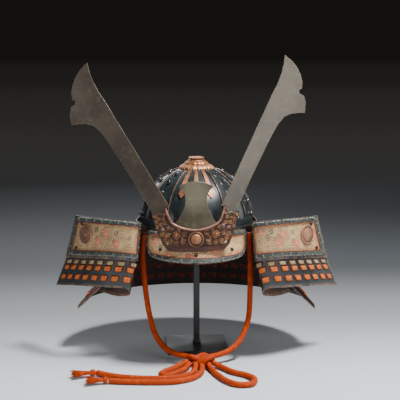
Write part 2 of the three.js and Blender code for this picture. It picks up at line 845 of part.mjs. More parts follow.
// The turned-back part. Out is a share of the way from the guard's half width to the reach,
// ahead a share of the depth and rise of the rise.
const guardTurn = [
  {
    top: { out: 0.0158, ahead: 0.41, rise: 0.0 },
    mid: { out: 0.1970, ahead: 0.41, rise: 0.0 },
    low: { out: 0.3433, ahead: 0.39, rise: 0.0 },
  },
  {
    top: { out: -0.0241, ahead: 0.66, rise: 0.04 },
    mid: { out: 0.0739, ahead: 0.66, rise: -0.04 },
    low: { out: 0.2086, ahead: 0.61, rise: 0.04 },
  },
  {
    top: { out: -0.0491, ahead: 0.87, rise: 0.17 },
    mid: { out: -0.0059, ahead: 0.87, rise: 0.1 },
    low: { out: 0.0856, ahead: 0.79, rise: 0.33 },
  },
  {
    top: { out: 0.0058, ahead: 1.0, rise: 0.29 },
    mid: { out: 0.0606, ahead: 1.0, rise: 0.25 },
    low: { out: 0.1288, ahead: 0.95, rise: 0.92 },
  },
  {
    top: { out: 0.1687, ahead: 1.0, rise: 0.42 },
    mid: { out: 0.2568, ahead: 0.96, rise: 0.33 },
    low: { out: 0.3350, ahead: 0.9, rise: 1.0 },
  },
  {
    top: { out: 0.3516, ahead: 0.82, rise: 0.42 },
    mid: { out: 0.4597, ahead: 0.76, rise: 0.21 },
    low: { out: 0.5644, ahead: 0.67, rise: 0.88 },
  },
  {
    top: { out: 0.5461, ahead: 0.53, rise: 0.33 },
    mid: { out: 0.6625, ahead: 0.45, rise: 0.0 },
    low: { out: 0.7922, ahead: 0.36, rise: 0.67 },
  },
  {
    top: { out: 0.7423, ahead: 0.18, rise: 0.25 },
    mid: { out: 0.8770, ahead: 0.08, rise: -0.25 },
    low: { out: 1.0000, ahead: -0.05, rise: 0.33 },
  },
];

const guardTop = rimHeight + guardTopRise;
const guardWide = bowlWidth / 2 + touchGap + bandThickness + guardSeatGap;
const guardLong = bowlLength / 2 + touchGap + bandThickness + guardSeatGap;
const guardControls = guardArc.length + guardTurn.length - 1;
const wingFrom = (guardArc.length + 2.4) / guardControls;

function guardLine(edge, drop) {
  const ring = guardArc.map((row) => {
    const pinch = edge === "mid" ? row.midPinch : edge === "low" ? row.lowPinch : 1;
    return vec(
      (guardWide + flareSide * drop) * Math.sin(rad(row.turn)) * pinch,
      (guardLong + flareBack * drop) * Math.cos(rad(row.turn)),
      guardTop - drop,
    );
  });
  const wing = guardTurn.map((row) => {
    const spot = row[edge];
    return vec(
      mix(guardWide, wingReach, spot.out),
      -spot.ahead * wingDepth,
      guardTop - drop + spot.rise * wingRise,
    );
  });
  const beforeBack = ring[1].clone().setX(-ring[1].x);
  return new THREE.CatmullRomCurve3([beforeBack, ...ring, ...wing], false, "catmullrom", 0.5);
}

const topLine = guardLine("top", 0);
const midLine = guardLine("mid", guardDrop);
const lowLine = guardLine("low", guardDrop + secondDrop);

// Both halves of a line: u runs from the right end (-1) past the back (0) to the left end (1).
function mirroredLine(line) {
  return (u) => {
    const share = Math.min(Math.abs(u), 1);
    const point = line.getPoint((share * guardControls + 1) / (guardControls + 1));
    point.x *= -Math.sign(u) || 1;
    return point;
  };
}

const ruled = (upper, lower) => (u, v) => upper(u).lerp(lower(u), v);
const firstSurface = ruled(mirroredLine(topLine), mirroredLine(midLine));
const lameStep = lameThickness + lameGap;
const secondTop = (u) => lifted(firstSurface, u, 1 - lameOverlap, lameStep);
const secondSurface = ruled(secondTop, mirroredLine(lowLine));
const thirdTop = (u) => lifted(secondSurface, u, 1 - lowerOverlap, lameStep);
const thirdEnd = (guardArc.length - 1 + 0.45) / guardControls;

function thirdFoot(u) {
  const drop = guardDrop + secondDrop + thirdDrop;
  const turn = rad((u / thirdEnd) * 97);
  return vec(
    -(guardWide + flareSide * drop) * Math.sin(turn),
    (guardLong + flareBack * drop) * Math.cos(turn),
    guardTop - drop,
  );
}

const thirdSurface = ruled(thirdTop, thirdFoot);

function makeGuard() {
  const full = steps(-lameEnd, lameEnd, 84);
  const lame = (surface, stations) => wall(surface, stations, [0, 1], 0, lameThickness);
  add("lame_1", lame(firstSurface, full), darkIron);
  add("lame_2", lame(secondSurface, full), darkIron);
  add("lame_3", lame(thirdSurface, steps(-thirdEnd, thirdEnd, 36)), darkIron);

  for (const [side, name] of [[-1, "left"], [1, "right"]]) makeWing(side, name);
}

// The leather face of a wing lies on the inner side of the first lame.
function makeWing(side, name) {
  const near = wingFrom;
  const far = faceEnd;
  const rightFace = (u, v) => firstSurface(-u, v);
  const leftFace = (u, v) => firstSurface(near + far - u, v);
  const face = side > 0 ? rightFace : leftFace;
  const towardsTip = (share) => (side > 0 ? mix(near, far, share) : mix(far, near, share));
  const depth = face(near, 0).distanceTo(face(near, 1));
  const span = face(near, 0.5).distanceTo(face(far, 0.5)) * 1.1;
  const uPerLength = (far - near) / span;
  const shares = {
    uWidth: borderWidth * uPerLength,
    vWidth: borderWidth / depth,
    uGap: touchGap * uPerLength + 0.001,
    vGap: touchGap / depth + 0.002,
    uSteps: 16,
    vSteps: 1,
  };
  const edges = { uFrom: near, uTo: far, vFrom: wingFaceTop, vTo: wingFaceFoot };
  const names = { leather: `wing_leather_${name}`, border: `wing_border_${name}` };
  faceWith(names, face, edges, shares);
  const lift = faceGap + leatherThickness + bossGap;
  const boss = dome(wingBossRadius, wingBossHeight, 20);
  add(`wing_boss_${name}`, seatedOn(face, towardsTip(0.8), 0.42, lift, boss), copper);
  for (const { level, v } of [{ level: "upper", v: 0.17 }, { level: "lower", v: 0.76 }]) {
    const rivet = dome(smallRivetRadius, smallRivetHeight, 6);
    const seated = seatedOn(face, towardsTip(0.895), v, lift, rivet);
    add(`wing_rivet_${level}_${name}`, seated, darkIron);
  }
}

// The cord's stretches, in millimetres, each from the end nearer the helmet or the knot.
const cordRoutes = {
  chin_cord_left: [
    [-98.5, -40, 226.1], [-99.6, -41, 210], [-100.5, -44, 191], [-94.5, -56, 123.5], [-86.5, -72, 80],
    [-75, -88, 46.5], [-57.5, -102, 26], [-37, -113, 17.5], [-11.4, -122.6, 14.8],
  ],
  chin_cord_right: [
    [98.5, -40, 226.1], [99.6, -41, 210], [100.5, -44, 191], [100, -56, 123.5], [95.7, -74, 71],
    [80.4, -92, 38], [61.7, -104, 22.5], [43, -114, 17], [23.3, -122.6, 14.8],
  ],
  cord_loop_left: [
    [-15.8, -134.6, 10], [-28, -146, 7], [-42, -163, 5.4], [-56, -181, 5.4], [-61, -197, 5.4],
    [-50, -203, 5.4], [-35, -188, 5.4], [-21, -168, 6], [-12, -146.4, 9],
  ],
  cord_loop_right: [
    [27.4, -135.6, 9.5], [43, -150, 5.8], [64, -181, 5.4], [88, -201, 5.4], [101, -224, 5.4],
    [94, -249, 5.4], [73, -253, 5.4], [55, -236, 5.4], [38, -200, 5.4], [27, -165, 5.8],
    [21.6, -146.4, 9],
  ],
  cord_tail_back: [
    [-0.5, -148.5, 8.8], [-4, -180, 5.6], [-20, -206, 5.4], [-45, -218, 5.4], [-70, -220, 5.4],
    [-97, -218, 5.4], [-131, -211, 5.4], [-158, -198, 5.6], [-173, -188.5, 6],
  ],
  cord_tail_front: [
    [10.4, -149.5, 8.8], [9, -185, 5.6], [-6, -216, 5.4], [-34, -235, 5.4], [-65, -239, 5.4],
    [-97, -238, 5.4], [-129, -236, 5.4], [-149, -233, 6],
  ],
};

function makeCord(name) {
  const points = cordRoutes[name].map((p) => vec(...p));
  const path = new THREE.CatmullRomCurve3(points);
  const stepsAlong = Math.round(path.getLength() / (cordDiameter * 2));
  const corners = steps(0, 1, 8)
    .slice(0, -1)
    .map((s) => new THREE.Vector2(Math.cos(s * 2 * Math.PI), Math.sin(s * 2 * Math.PI)))
    .map((p) => p.multiplyScalar(cordDiameter / 2));
  const shape = new THREE.Shape(corners);
  add(name, new THREE.ExtrudeGeometry(shape, { steps: stepsAlong, extrudePath: path }), cordCloth);
}

// Columns: along is the share of the tassel's length, wide the share of its radius.
const tasselOutline = [
  { along: 0.0, wide: 0.55 },
  { along: 0.08, wide: 0.7 },
  { along: 0.2, wide: 0.58 },
  { along: 0.5, wide: 0.85 },
  { along: 1.0, wide: 1.0 },
];

function makeTassel(name, from, to) {
  const length = from.distanceTo(to);
  const profile = [
    new THREE.Vector2(0, 0),
    ...tasselOutline.map(({ along, wide }) =>
      new THREE.Vector2(wide * tasselRadius, along * length),
    ),
    new THREE.Vector2(0, length),
  ];
  const body = new THREE.LatheGeometry(profile, 12);
  const pull = new THREE.Quaternion().setFromUnitVectors(
    vec(0, 1, 0),
    to.clone().sub(from).normalize(),
  );
  add(name, body.applyQuaternion(pull).translate(from.x, from.y, from.z), cordCloth);
}

const knotPlace = vec(6, -132, knotHeight / 2 + touchGap);

function makeCords() {
  for (const [side, name] of [[-1, "left"], [1, "right"]]) {
    const ring = new THREE.TorusGeometry(ringRadius - ringWire, ringWire, 5, 12);
    const half = bowlWidth / 2;
    const across = half * Math.sqrt(1 - (ringSetback / (bowlLength / 2)) ** 2);
    ring.rotateX(Math.PI / 2);
    ring.translate(side * across, -ringSetback, rimHeight - ringRadius - touchGap);
    add(`cord_ring_${name}`, ring, copper);
  }
  for (const name of Object.keys(cordRoutes)) makeCord(name);
  const knot = new THREE.SphereGeometry(1, 12, 8).scale(knotWidth / 2, knotDepth / 2, knotHeight / 2);
  add("cord_knot", knot.translate(knotPlace.x, knotPlace.y, knotPlace.z), cordCloth);
  const low = tasselHead + touchGap;
  makeTassel("tassel_back", vec(-176.4, -190.8, low), vec(-218, -206, tasselRadius + touchGap));
  makeTassel("tassel_front", vec(-151.1, -232.9, low), vec(-189, -240, tasselRadius + touchGap));
}

makeStand();
add("bowl", makeBowl(), lacquer);
add("waist_band", makeBand(), darkIron);
add("crown_ring", makeCrownRing(), gilt);
add("crown_tiers", makeCrownTiers(), gilt);
add("strip_left", makeStrip(-stripTurn), gilt);
add("strip_middle", makeStrip(0), gilt);
add("strip_right", makeStrip(stripTurn), gilt);
makeVisor();
makeFront();
makeGuard();
makeCords();

export default parent;
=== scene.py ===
"""Dresses the solids of a kabuto samurai helmet and its stand for a still picture.

Shapes are worked out in millimetres and become metres as each mesh is made. X runs to the
viewer's right, the helmet's front looks along -Y, and Z is up.
"""
import random
from itertools import accumulate
from math import asin, atan2, copysign, cos, degrees, hypot, pi, sin, sqrt, tan
from math import radians as rad

import bmesh
import bpy
from mathutils import Matrix, Vector


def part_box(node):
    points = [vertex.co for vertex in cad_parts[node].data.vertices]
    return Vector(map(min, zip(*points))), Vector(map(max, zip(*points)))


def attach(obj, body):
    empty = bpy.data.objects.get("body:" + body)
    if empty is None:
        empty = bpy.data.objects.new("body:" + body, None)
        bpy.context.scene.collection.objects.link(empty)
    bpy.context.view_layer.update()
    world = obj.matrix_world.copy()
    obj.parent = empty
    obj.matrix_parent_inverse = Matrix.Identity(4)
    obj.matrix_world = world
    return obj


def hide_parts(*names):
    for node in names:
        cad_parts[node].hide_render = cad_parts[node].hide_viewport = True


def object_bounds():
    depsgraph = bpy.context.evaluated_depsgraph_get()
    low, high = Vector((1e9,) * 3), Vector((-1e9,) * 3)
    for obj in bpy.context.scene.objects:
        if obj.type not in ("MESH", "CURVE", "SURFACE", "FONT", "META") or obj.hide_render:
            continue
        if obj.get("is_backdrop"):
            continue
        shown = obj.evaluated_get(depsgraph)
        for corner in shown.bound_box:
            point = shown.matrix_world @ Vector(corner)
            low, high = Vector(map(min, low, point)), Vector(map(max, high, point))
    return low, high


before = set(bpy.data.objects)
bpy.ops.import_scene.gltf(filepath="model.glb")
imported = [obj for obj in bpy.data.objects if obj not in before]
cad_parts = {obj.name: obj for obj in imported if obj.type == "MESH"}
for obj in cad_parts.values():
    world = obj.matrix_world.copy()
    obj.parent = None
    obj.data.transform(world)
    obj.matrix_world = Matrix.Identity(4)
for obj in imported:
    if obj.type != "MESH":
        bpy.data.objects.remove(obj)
cad_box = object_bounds()

MM = 0.001
UP = Vector((0, 0, 1))
chance = random.Random(7)
link = bpy.context.scene.collection.objects.link

# Sizes that the solids have too, in millimetres and degrees.
bowl_width, bowl_length, bowl_height, bowl_wall = 210, 230, 105, 2.5
rim_height = 245
band_thickness, touch_gap, face_gap = 1.8, 0.3, 0.6
visor_top_turn, visor_foot_turn = 58, 71
visor_foot_half_width, visor_foot_reach, visor_foot_setback = 94.5, 90, 60
visor_foot_height, visor_corner_rise, visor_sag, visor_thickness = 192, 8, 2, 2
leather_thickness, border_width, border_thickness = 1.2, 8, 2.2
guard_top, guard_drop, second_drop, third_drop = 252, 70, 70, 32
guard_wide, guard_long = 108, 118
flare_side, flare_back = 0.682, 0.459
lame_thickness, lame_step = 2, 2.95
lame_overlap, lower_overlap = 0.06, 0.15
wing_reach, wing_depth, wing_rise = 271, 98, 24
dai_half_width, dai_height, dai_bottom = 78, 79, 213
dai_flat_from, dai_yaw, boss_rise, front_roll = 45, 12, 22.2, 1.8
cord_diameter = 10

# Sizes of the dressing alone, in millimetres and degrees.
visor_foot_round = 26
knot_lobes, knot_lift = (6.4, 5.0), 5.6
wrap_radii, wrap_slant = (11.5, 7.4), 4
thread_count, thread_turn = 84, 2.39996
ridge_low, ridge_high = 6, 71
rivet_rises = (10, 23, 36, 49, 61.5)
bead_count, bead_circle = 40, 31.8
pad_gap, pad_end_room = 22, 15
pad_width, pad_crown = 16.5, 2.2
inner_pad_width, inner_pad_crown = 15, 1.6
piping_radius, stitch_radius, stitch_gap = 0.75, 0.42, 18
stud_radius, stud_height, stud_flange = 3.6, 2.6, 0.3
disc_share, disc_level, wing_stud_share = 0.8, 0.42, 0.895
strip_reach, strip_low, strip_high = 46, 0.6, 8.2
eye_place, eye_radius, eye_bar = (98.5, -40, 235.7), 7.5, 1.45


def mix(a, b, share):
    return a + (b - a) * share


def steps(low, high, count):
    return [mix(low, high, i / count) for i in range(count + 1)]


def looped(count, spot):
    """A closed line, from a function that gives the place at an angle."""
    return [spot(2 * pi * share) for share in steps(0, 1, count)[:-1]]


def runs_of(line):
    """How far along a line each of its points lies."""
    return [0.0, *accumulate((q - p).length for p, q in zip(line, line[1:]))]


# Camera at the photograph's angle.
camera_data = bpy.data.cameras.new("camera")
camera_data.lens = 94.2
camera_data.sensor_width = 36
camera = bpy.data.objects.new("camera", camera_data)
camera.location = (0.0068, -1.962, 0.564)
camera.rotation_euler = (rad(81.9), 0, 0)
link(camera)
bpy.context.scene.camera = camera


# Finishes.
def linear(colour):
    """A colour as the shader takes it, from six hexadecimal digits or three numbers up to 255."""
    shares = [c / 255 for c in (bytes.fromhex(colour) if isinstance(colour, str) else colour)]
    return tuple(s / 12.92 if s < 0.04045 else ((s + 0.055) / 1.055) ** 2.4 for s in shares) + (1,)


class Finish:
    """One material, made up of nodes round its main shader."""

    def __init__(self, name, **sockets):
        self.material = bpy.data.materials.new(name)
        self.material.use_nodes = True
        self.tree = self.material.node_tree
        self.shader = self.tree.nodes["Principled BSDF"]
        for key, value in sockets.items():
            self.shader.inputs[key.replace("_", " ")].default_value = value
        self.place = self.put("TexCoord").outputs["Object"]

    def put(self, kind, inputs=(), **settings):
        node = self.tree.nodes.new("ShaderNode" + kind)
        for key, value in settings.items():
            setattr(node, key, value)
        for key, value in dict(inputs).items():
            self.wire(node.inputs[key], value)
        return node

    def wire(self, socket, value):
        if isinstance(value, bpy.types.NodeSocket):
            self.tree.links.new(value, socket)
        else:
            socket.default_value = value

    def set(self, name, value):
        self.wire(self.shader.inputs[name], value)

    def math(self, operation, a, b=0.0):
        return self.put("Math", {0: a, 1: b}, operation=operation).outputs[0]

    def times(self, a, b):
        return self.math("MULTIPLY", a, b)

    def mixed(self, share, a, b):
        """Two colours mixed. Each is an output or a colour that linear takes."""
        a, b = [c if isinstance(c, bpy.types.NodeSocket) else linear(c) for c in (a, b)]
        return self.put("Mix", {0: share, 6: a, 7: b}, data_type="RGBA").outputs[2]

    def noise(self, size, detail=3.0):
        inputs = {"Vector": self.place, "Scale": 1 / (size * MM), "Detail": detail}
        return self.put("TexNoise", inputs).outputs[0]

    def ramp(self, value, low, high, to_low=0.0, to_high=1.0):
        inputs = {0: value, 1: low, 2: high, 3: to_low, 4: to_high}
        return self.put("MapRange", inputs, interpolation_type="SMOOTHSTEP").outputs[0]

    def share(self, name):
        return self.put("Attribute", attribute_name=name).outputs["Fac"]

    def flat(self):
        return self.put("UVMap", uv_map="flat").outputs[0]

    def bump(self, height, depth):
        inputs = {"Height": height, "Distance": depth * MM, "Strength": 1.0}
        self.set("Normal", self.put("Bump", inputs).outputs[0])


def worn(name, colours, rough, grain, depth, edge=None, fleck=0.5, **sockets):
    """A surface mottled from dark to light, dulled in patches, with its raised edges rubbed."""
    dark, base, light = colours.split()
    finish = Finish(name, **sockets)
    broad = finish.noise(grain * 3, 4.0)
    fine = finish.noise(grain * 0.4, 4.0)
    colour = finish.mixed(finish.ramp(broad, 0.35, 0.65), dark, base)
    colour = finish.mixed(finish.ramp(fine, 0.5, 0.8, 0.0, fleck), colour, light)
    if edge:
        rubbed = finish.times(finish.share("wear"), finish.ramp(fine, 0.35, 0.6))
        colour = finish.mixed(rubbed, colour, edge)
    finish.set("Base Color", colour)
    finish.set("Roughness", finish.ramp(broad, 0.3, 0.7, rough[0], rough[1]))
    finish.bump(fine, depth)
    return finish.material


def printed_leather():
    """Tan hide with a block-printed all-over pattern of plain blossoms, rings and ray lines."""
    finish = Finish("printed_leather", Roughness=0.62)
    times, ramp, mixed = finish.times, finish.ramp, finish.mixed
    flat = finish.flat()

    def cells(size, loose, left_out):
        """Distance and angle from the middle of a cell, and whether that cell is printed."""
        inputs = {"Vector": flat, "Scale": 1 / (size * MM), "Randomness": loose}
        node = finish.put("TexVoronoi", inputs, voronoi_dimensions="2D")
        ends = {0: flat, 1: node.outputs["Position"]}
        away = finish.put("VectorMath", ends, operation="SUBTRACT").outputs[0]
        x, y = finish.put("SeparateXYZ", {0: away}).outputs[:2]
        pick = finish.put("SeparateColor", {0: node.outputs["Color"]}).outputs[0]
        printed = ramp(pick, left_out, left_out + 0.02)
        return node.outputs["Distance"], finish.math("ARCTAN2", y, x), printed

    def waves(angle, count):
        return finish.math("SINE", times(angle, float(count)))

    mottle = finish.noise(30, 4.0)
    colour = mixed(ramp(mottle, 0.35, 0.65), "b28a5c", "ccaa7a")
    ink = "58544a"
    # Columns: cell size, rays round a cell, their inner and outer reach, share of cells left out.
    for size, count, inside, outside, left_out in ((44, 19, 0.12, 0.5, 0.1), (23, 11, 0.2, 0.46, 0.3)):
        reach, angle, printed = cells(size, 0.85, left_out)
        zone = times(ramp(reach, inside, inside + 0.04), ramp(reach, outside, outside - 0.06))
        rays = times(times(ramp(waves(angle, count), 0.45, 0.8), zone), printed)
        colour = mixed(times(rays, 0.7), colour, ink)
    # Columns: cell size, radius of the ring in a cell, share of cells left out.
    for size, radius, left_out in ((15, 0.17, 0.5), (27, 0.12, 0.4)):
        reach, angle, printed = cells(size, 0.95, left_out)
        off_ring = finish.math("ABSOLUTE", finish.math("SUBTRACT", reach, radius))
        ring = times(ramp(off_ring, 0.055, 0.025), printed)
        colour = mixed(times(ring, 0.85), colour, ink)
    reach, angle, printed = cells(41, 0.85, 0.3)
    edge = finish.math("ADD", times(waves(angle, 5), 0.04), 0.19)
    petals = times(ramp(finish.math("SUBTRACT", edge, reach), -0.03, 0.04), printed)
    faded = ramp(finish.noise(3), 0.35, 0.65, 0.45, 0.95)
    colour = mixed(times(petals, faded), colour, "d26854")
    heart = times(ramp(finish.math("SUBTRACT", 0.05, reach), -0.01, 0.015), petals)
    colour = mixed(heart, colour, "ceb084")
    # Darker brown towards the leather's edges, next to the raised border.
    darker_near_edges = times(finish.share("wear"), ramp(mottle, 0.3, 0.6))
    finish.set("Base Color", mixed(times(darker_near_edges, 0.7), colour, "784628"))
    finish.bump(finish.noise(1.2), 0.08)
    return finish.material


def braid(name, colours, pitch):
    """Silk braid: crossing strands along and round the cord, from its own flat places."""
    deep, base, bright = colours.split()
    finish = Finish(name, Roughness=0.65, Specular_IOR_Level=0.2)
    along, around = finish.put("SeparateXYZ", {0: finish.flat()}).outputs[:2]

    def strands(operation):
        slanted = finish.math(operation, along, around)
        return finish.math("SINE", finish.times(slanted, 2 * pi / (pitch * MM)))

    weave = finish.math("MAXIMUM", strands("ADD"), strands("SUBTRACT"))
    colour = finish.mixed(finish.ramp(weave, 0.1, 0.95), deep, base)
    colour = finish.mixed(finish.ramp(finish.noise(7), 0.5, 0.75, 0.0, 0.55), colour, bright)
    finish.set("Base Color", colour)
    finish.bump(weave, 0.18)
    return finish.material


lacquer = worn("blue_black_lacquer", "1f2426 2a3134 3e4446", (0.26, 0.38), 24, 0.04, Coat_Weight=0.3,
               Coat_Roughness=0.18)
lame_outer = worn("guard_lacquer", "22282a 2d3538 424849", (0.34, 0.48), 22, 0.05, "7c604c", 0.25,
                  Coat_Weight=0.2, Coat_Roughness=0.25)
lame_rim = worn("guard_rim", "282c2c 42423e 706a5e", (0.4, 0.55), 6, 0.06)
# The inside of the guard and of the bowl is the red-brown lacquer of the underside, painted darker as
# shade.
lame_inner_painted_shade = worn("guard_inside_painted_shade", "1a0f0d 281612 3a221b", (0.45, 0.6), 22, 0.06)
lame_under = worn("guard_underside", "2a1711 44281e 6c4836", (0.42, 0.6), 9, 0.08, "80604c", 0.5)
seat_iron = worn("dark_seat", "141618 202325 36383a", (0.35, 0.5), 5, 0.05)
rivet_iron = worn("rivet_iron", "1e2325 2e3537 545a5a", (0.18, 0.3), 5, 0.05, Metallic=0.3, Coat_Weight=0.5,
                  Coat_Roughness=0.15)
small_iron = worn("small_rivet_iron", "1c1a18 342c26 605446", (0.35, 0.55), 4, 0.1, Metallic=0.5)
ridge_copper = worn("ridge_copper", "543c30 8e6c5c b4927e", (0.34, 0.5), 6, 0.06, Metallic=0.4)
finial_gilt = worn("finial_gilt", "966440 c69268 deb288", (0.34, 0.5), 9, 0.08, Metallic=0.45)
strip_gilt = worn("strip_gilt", "805034 a86e4a c48e66", (0.4, 0.55), 10, 0.08, "604634", 0.4, Metallic=0.3)
pewter = worn("gilt_pewter", "585244 7a7362 928a74", (0.32, 0.46), 24, 0.04, fleck=0.4, Metallic=0.6)
dai_copper = worn("dai_copper", "2c1911 46291b 68422c", (0.45, 0.6), 6, 0.1, Metallic=0.3)
scroll_copper = worn("scroll_copper", "6c462e 966844 b88860", (0.38, 0.52), 5, 0.06, Metallic=0.35)
rim_copper = worn("rim_copper", "7e5644 a47862 be9680", (0.34, 0.5), 12, 0.04, Metallic=0.4)
# A near-black copper for the groove of the horn base boss: painted shade.
groove_copper_painted_shade = worn("groove_copper_painted_shade", "22140e 362117 543626", (0.5, 0.65), 6, 0.05)
boss_copper = worn("boss_copper", "70462e 966242 b27e5c", (0.34, 0.5), 6, 0.06, Metallic=0.45)
wing_copper = worn("wing_boss_copper", "7c5640 a87a5c c49a7a", (0.4, 0.58), 6, 0.1, Metallic=0.3)
# A darker copper for the wing bosses' grooves: painted shade.
wing_groove_painted_shade = worn("wing_boss_groove_painted_shade", "54382a 76523e 926a52", (0.5, 0.65), 6, 0.05)
blossom_metal = worn("blossom_metal", "604846 927670 c4b0a8", (0.3, 0.5), 3, 0.1, Metallic=0.7)
# The horns are one metal in two copies: the left is painted darker as shade, the right painted lighter
# where the key lamp from the right falls.
shaded_horn_metal_left = worn("horn_metal_left_painted_shade", "42382e 564b40 6c6154", (0.36, 0.52), 26, 0.05, fleck=0.4,
                       Metallic=0.5)
lit_horn_metal_right = worn("horn_metal_right_painted_light", "5c564e 726b62 888076", (0.36, 0.52), 26, 0.05, fleck=0.4,
                        Metallic=0.5)
# Lighter brass for the eased edges of the horns and the centre plate: a painted highlight.
horn_edge_painted_highlight = worn("horn_edge_painted_highlight", "685c4c 8c7e68 a6967c", (0.34, 0.48), 10, 0.04, Metallic=0.5)
border_hide = worn("border_hide", "262b2a 3a403c 5c6058", (0.55, 0.7), 10, 0.2, "96948a", 0.55)
piping_silk = worn("piping_silk", "5c2a1a 9e4e2e c8784e", (0.5, 0.7), 4, 0.2)
stitch_silk = worn("stitch_silk", "686a64 8a8c84 acaca2", (0.5, 0.7), 2, 0.05)
stand_black = worn("stand_black", "141414 1c1c1c 262524", (0.35, 0.5), 24, 0.03)
strip_lacquer = worn("strip_lacquer", "2e140d 4c2115 643220", (0.4, 0.55), 9, 0.06)
leather = printed_leather()
cord_silk = braid("cord_silk", "641600 c84400 d65e08", 2.4)
pad_orange = braid("orange_lacing", "843214 e87c3a f49e66", 4.2)
# The lacing inside the guard at the back is the same silk, painted dim as shade.
pad_dim_painted_shade = braid("dim_lacing_painted_shade", "280e0c 6c2a24 884236", 4.2)
pad_cream = braid("cream_lacing", "4c3620 bcac80 d6c8a0", 4.2)
# Dark silk for the rims of the pads: painted shade in the gaps between them.
pad_shade = braid("lacing_edge_painted_shade", "30120a 702e16 964a2a", 2.4)


# Meshes.
class Shape:
    """Corners and faces of one piece, in millimetres. A face has the number of its finish."""

    def __init__(self):
        self.corners, self.wear, self.flat = [], [], []
        self.faces, self.finishes = [], []

    def sheet(self, rows, finish=0, wear=None, flat=None, around=True, ends=(0, 0)):
        """Quads over rows of points, with a face over the first row and over the last. Around
        joins each row's last point to its first. Ends are the finishes of those two faces."""
        start, width = len(self.corners), len(rows[0])
        for r, row in enumerate(rows):
            for c, point in enumerate(row):
                self.corners.append(point)
                self.wear.append(wear(r, c) if wear else 0.0)
                self.flat.append(flat(r, c) if flat else (0.0, 0.0))
        for r in range(len(rows) - 1):
            for c in range(width if around else width - 1):
                a, b = start + r * width + c, start + r * width + (c + 1) % width
                self.faces.append((a, b, b + width, a + width))
                self.finishes.append(finish(r, c) if callable(finish) else finish)
        for first, end in zip((start, start + (len(rows) - 1) * width), ends):
            self.faces.append(tuple(range(first, first + width)))
            self.finishes.append(end)


def settle(obj, mesh, finishes, slot, replaced, sharp=38):
    for finish in finishes:
        mesh.materials.append(finish)
    for polygon in mesh.polygons:
        polygon.use_smooth = True
    mesh.set_sharp_from_angle(angle=rad(sharp))
    link(obj)
    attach(obj, "root")
    if replaced:
        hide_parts(*replaced)
    return obj


def piece(name, shape, finishes, slot=None, replaced=(), sharp=38):
    mesh = bpy.data.meshes.new(name)
    mesh.from_pydata([Vector(p) * MM for p in shape.corners], [], shape.faces)
    mesh.polygons.foreach_set("material_index", shape.finishes)
    mesh.attributes.new("wear", "FLOAT", "POINT").data.foreach_set("value", shape.wear)
    places = mesh.uv_layers.new(name="flat")
    for loop in mesh.loops:
        places.data[loop.index].uv = [x * MM for x in shape.flat[loop.vertex_index]]
    work = bmesh.new()
    work.from_mesh(mesh)
    bmesh.ops.remove_doubles(work, verts=work.verts, dist=0.002 * MM)
    bmesh.ops.recalc_face_normals(work, faces=work.faces)
    work.to_mesh(mesh)
    work.free()
    return settle(bpy.data.objects.new(name, mesh), mesh, finishes, slot, replaced, sharp)


def refined(node, name, finish, edge, slot, bevel):
    """A copy of a solid with its edges eased and given the edge finish, standing for it. On most pieces
    that finish is rubbed metal; on the horns and the centre plate it is a painted highlight.
    """
    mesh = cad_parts[node].data.copy()
    mesh.name = name
    mesh.materials.clear()
    work = bmesh.new()
    work.from_mesh(mesh)
    bmesh.ops.remove_doubles(work, verts=work.verts, dist=0.01 * MM)
    bmesh.ops.dissolve_limit(work, angle_limit=rad(0.5), verts=work.verts, edges=work.edges)
    edges = [e for e in work.edges if len(e.link_faces) == 2 and e.calc_face_angle() > rad(35)]
    made = bmesh.ops.bevel(work, geom=edges, offset=bevel * MM, segments=2, affect="EDGES",
                           profile=0.5, clamp_overlap=True)
    eased = set(made["faces"])
    for face in work.faces:
        face.material_index = int(face in eased)
    work.to_mesh(mesh)
    work.free()
    settle(bpy.data.objects.new(name, mesh), mesh, [finish, edge], slot, [node])
    # A flat face keeps its own direction of light right up to its eased edge.
    beside = {}
    for polygon in mesh.polygons:
        for key in polygon.edge_keys:
            beside.setdefault(key, set()).add(polygon.material_index)
    for line in mesh.edges:
        if len(beside[line.key]) > 1:
            line.use_edge_sharp = True


def spline(points, share, centripetal=True):
    """A point on the smooth curve through the points, at a share of its spans."""
    spans = len(points) - 1
    place = min(max(share, 0), 1) * spans
    i = min(int(place), spans - 1)
    t = place - i
    b, c = points[i], points[i + 1]
    a = points[i - 1] if i > 0 else b * 2 - c
    d = points[i + 2] if i + 2 <= spans else c * 2 - b
    if centripetal:
        ab, bc, cd = [max((q - p).length, 1e-6) ** 0.5 for p, q in ((a, b), (b, c), (c, d))]
        start = ((b - a) / ab - (c - a) / (ab + bc) + (c - b) / bc) * bc
        end = ((c - b) / bc - (d - b) / (bc + cd) + (d - c) / cd) * bc
    else:
        start, end = (c - a) / 2, (d - b) / 2
    cubic, square = t * t * t, t * t
    return (b * (2 * cubic - 3 * square + 1) + start * (cubic - 2 * square + t)
            + c * (3 * square - 2 * cubic) + end * (cubic - square))


def evenly(points, spacing):
    """The smooth curve through the points, as points that lie a spacing apart."""
    fine = [spline(points, s) for s in steps(0, 1, 60 * (len(points) - 1))]
    run = runs_of(fine)
    line, k = [], 0
    for goal in steps(0, run[-1], max(2, round(run[-1] / spacing))):
        while k < len(run) - 2 and run[k + 1] < goal:
            k += 1
        share = (goal - run[k]) / max(run[k + 1] - run[k], 1e-9)
        line.append(fine[k].lerp(fine[k + 1], min(share, 1)))
    return line


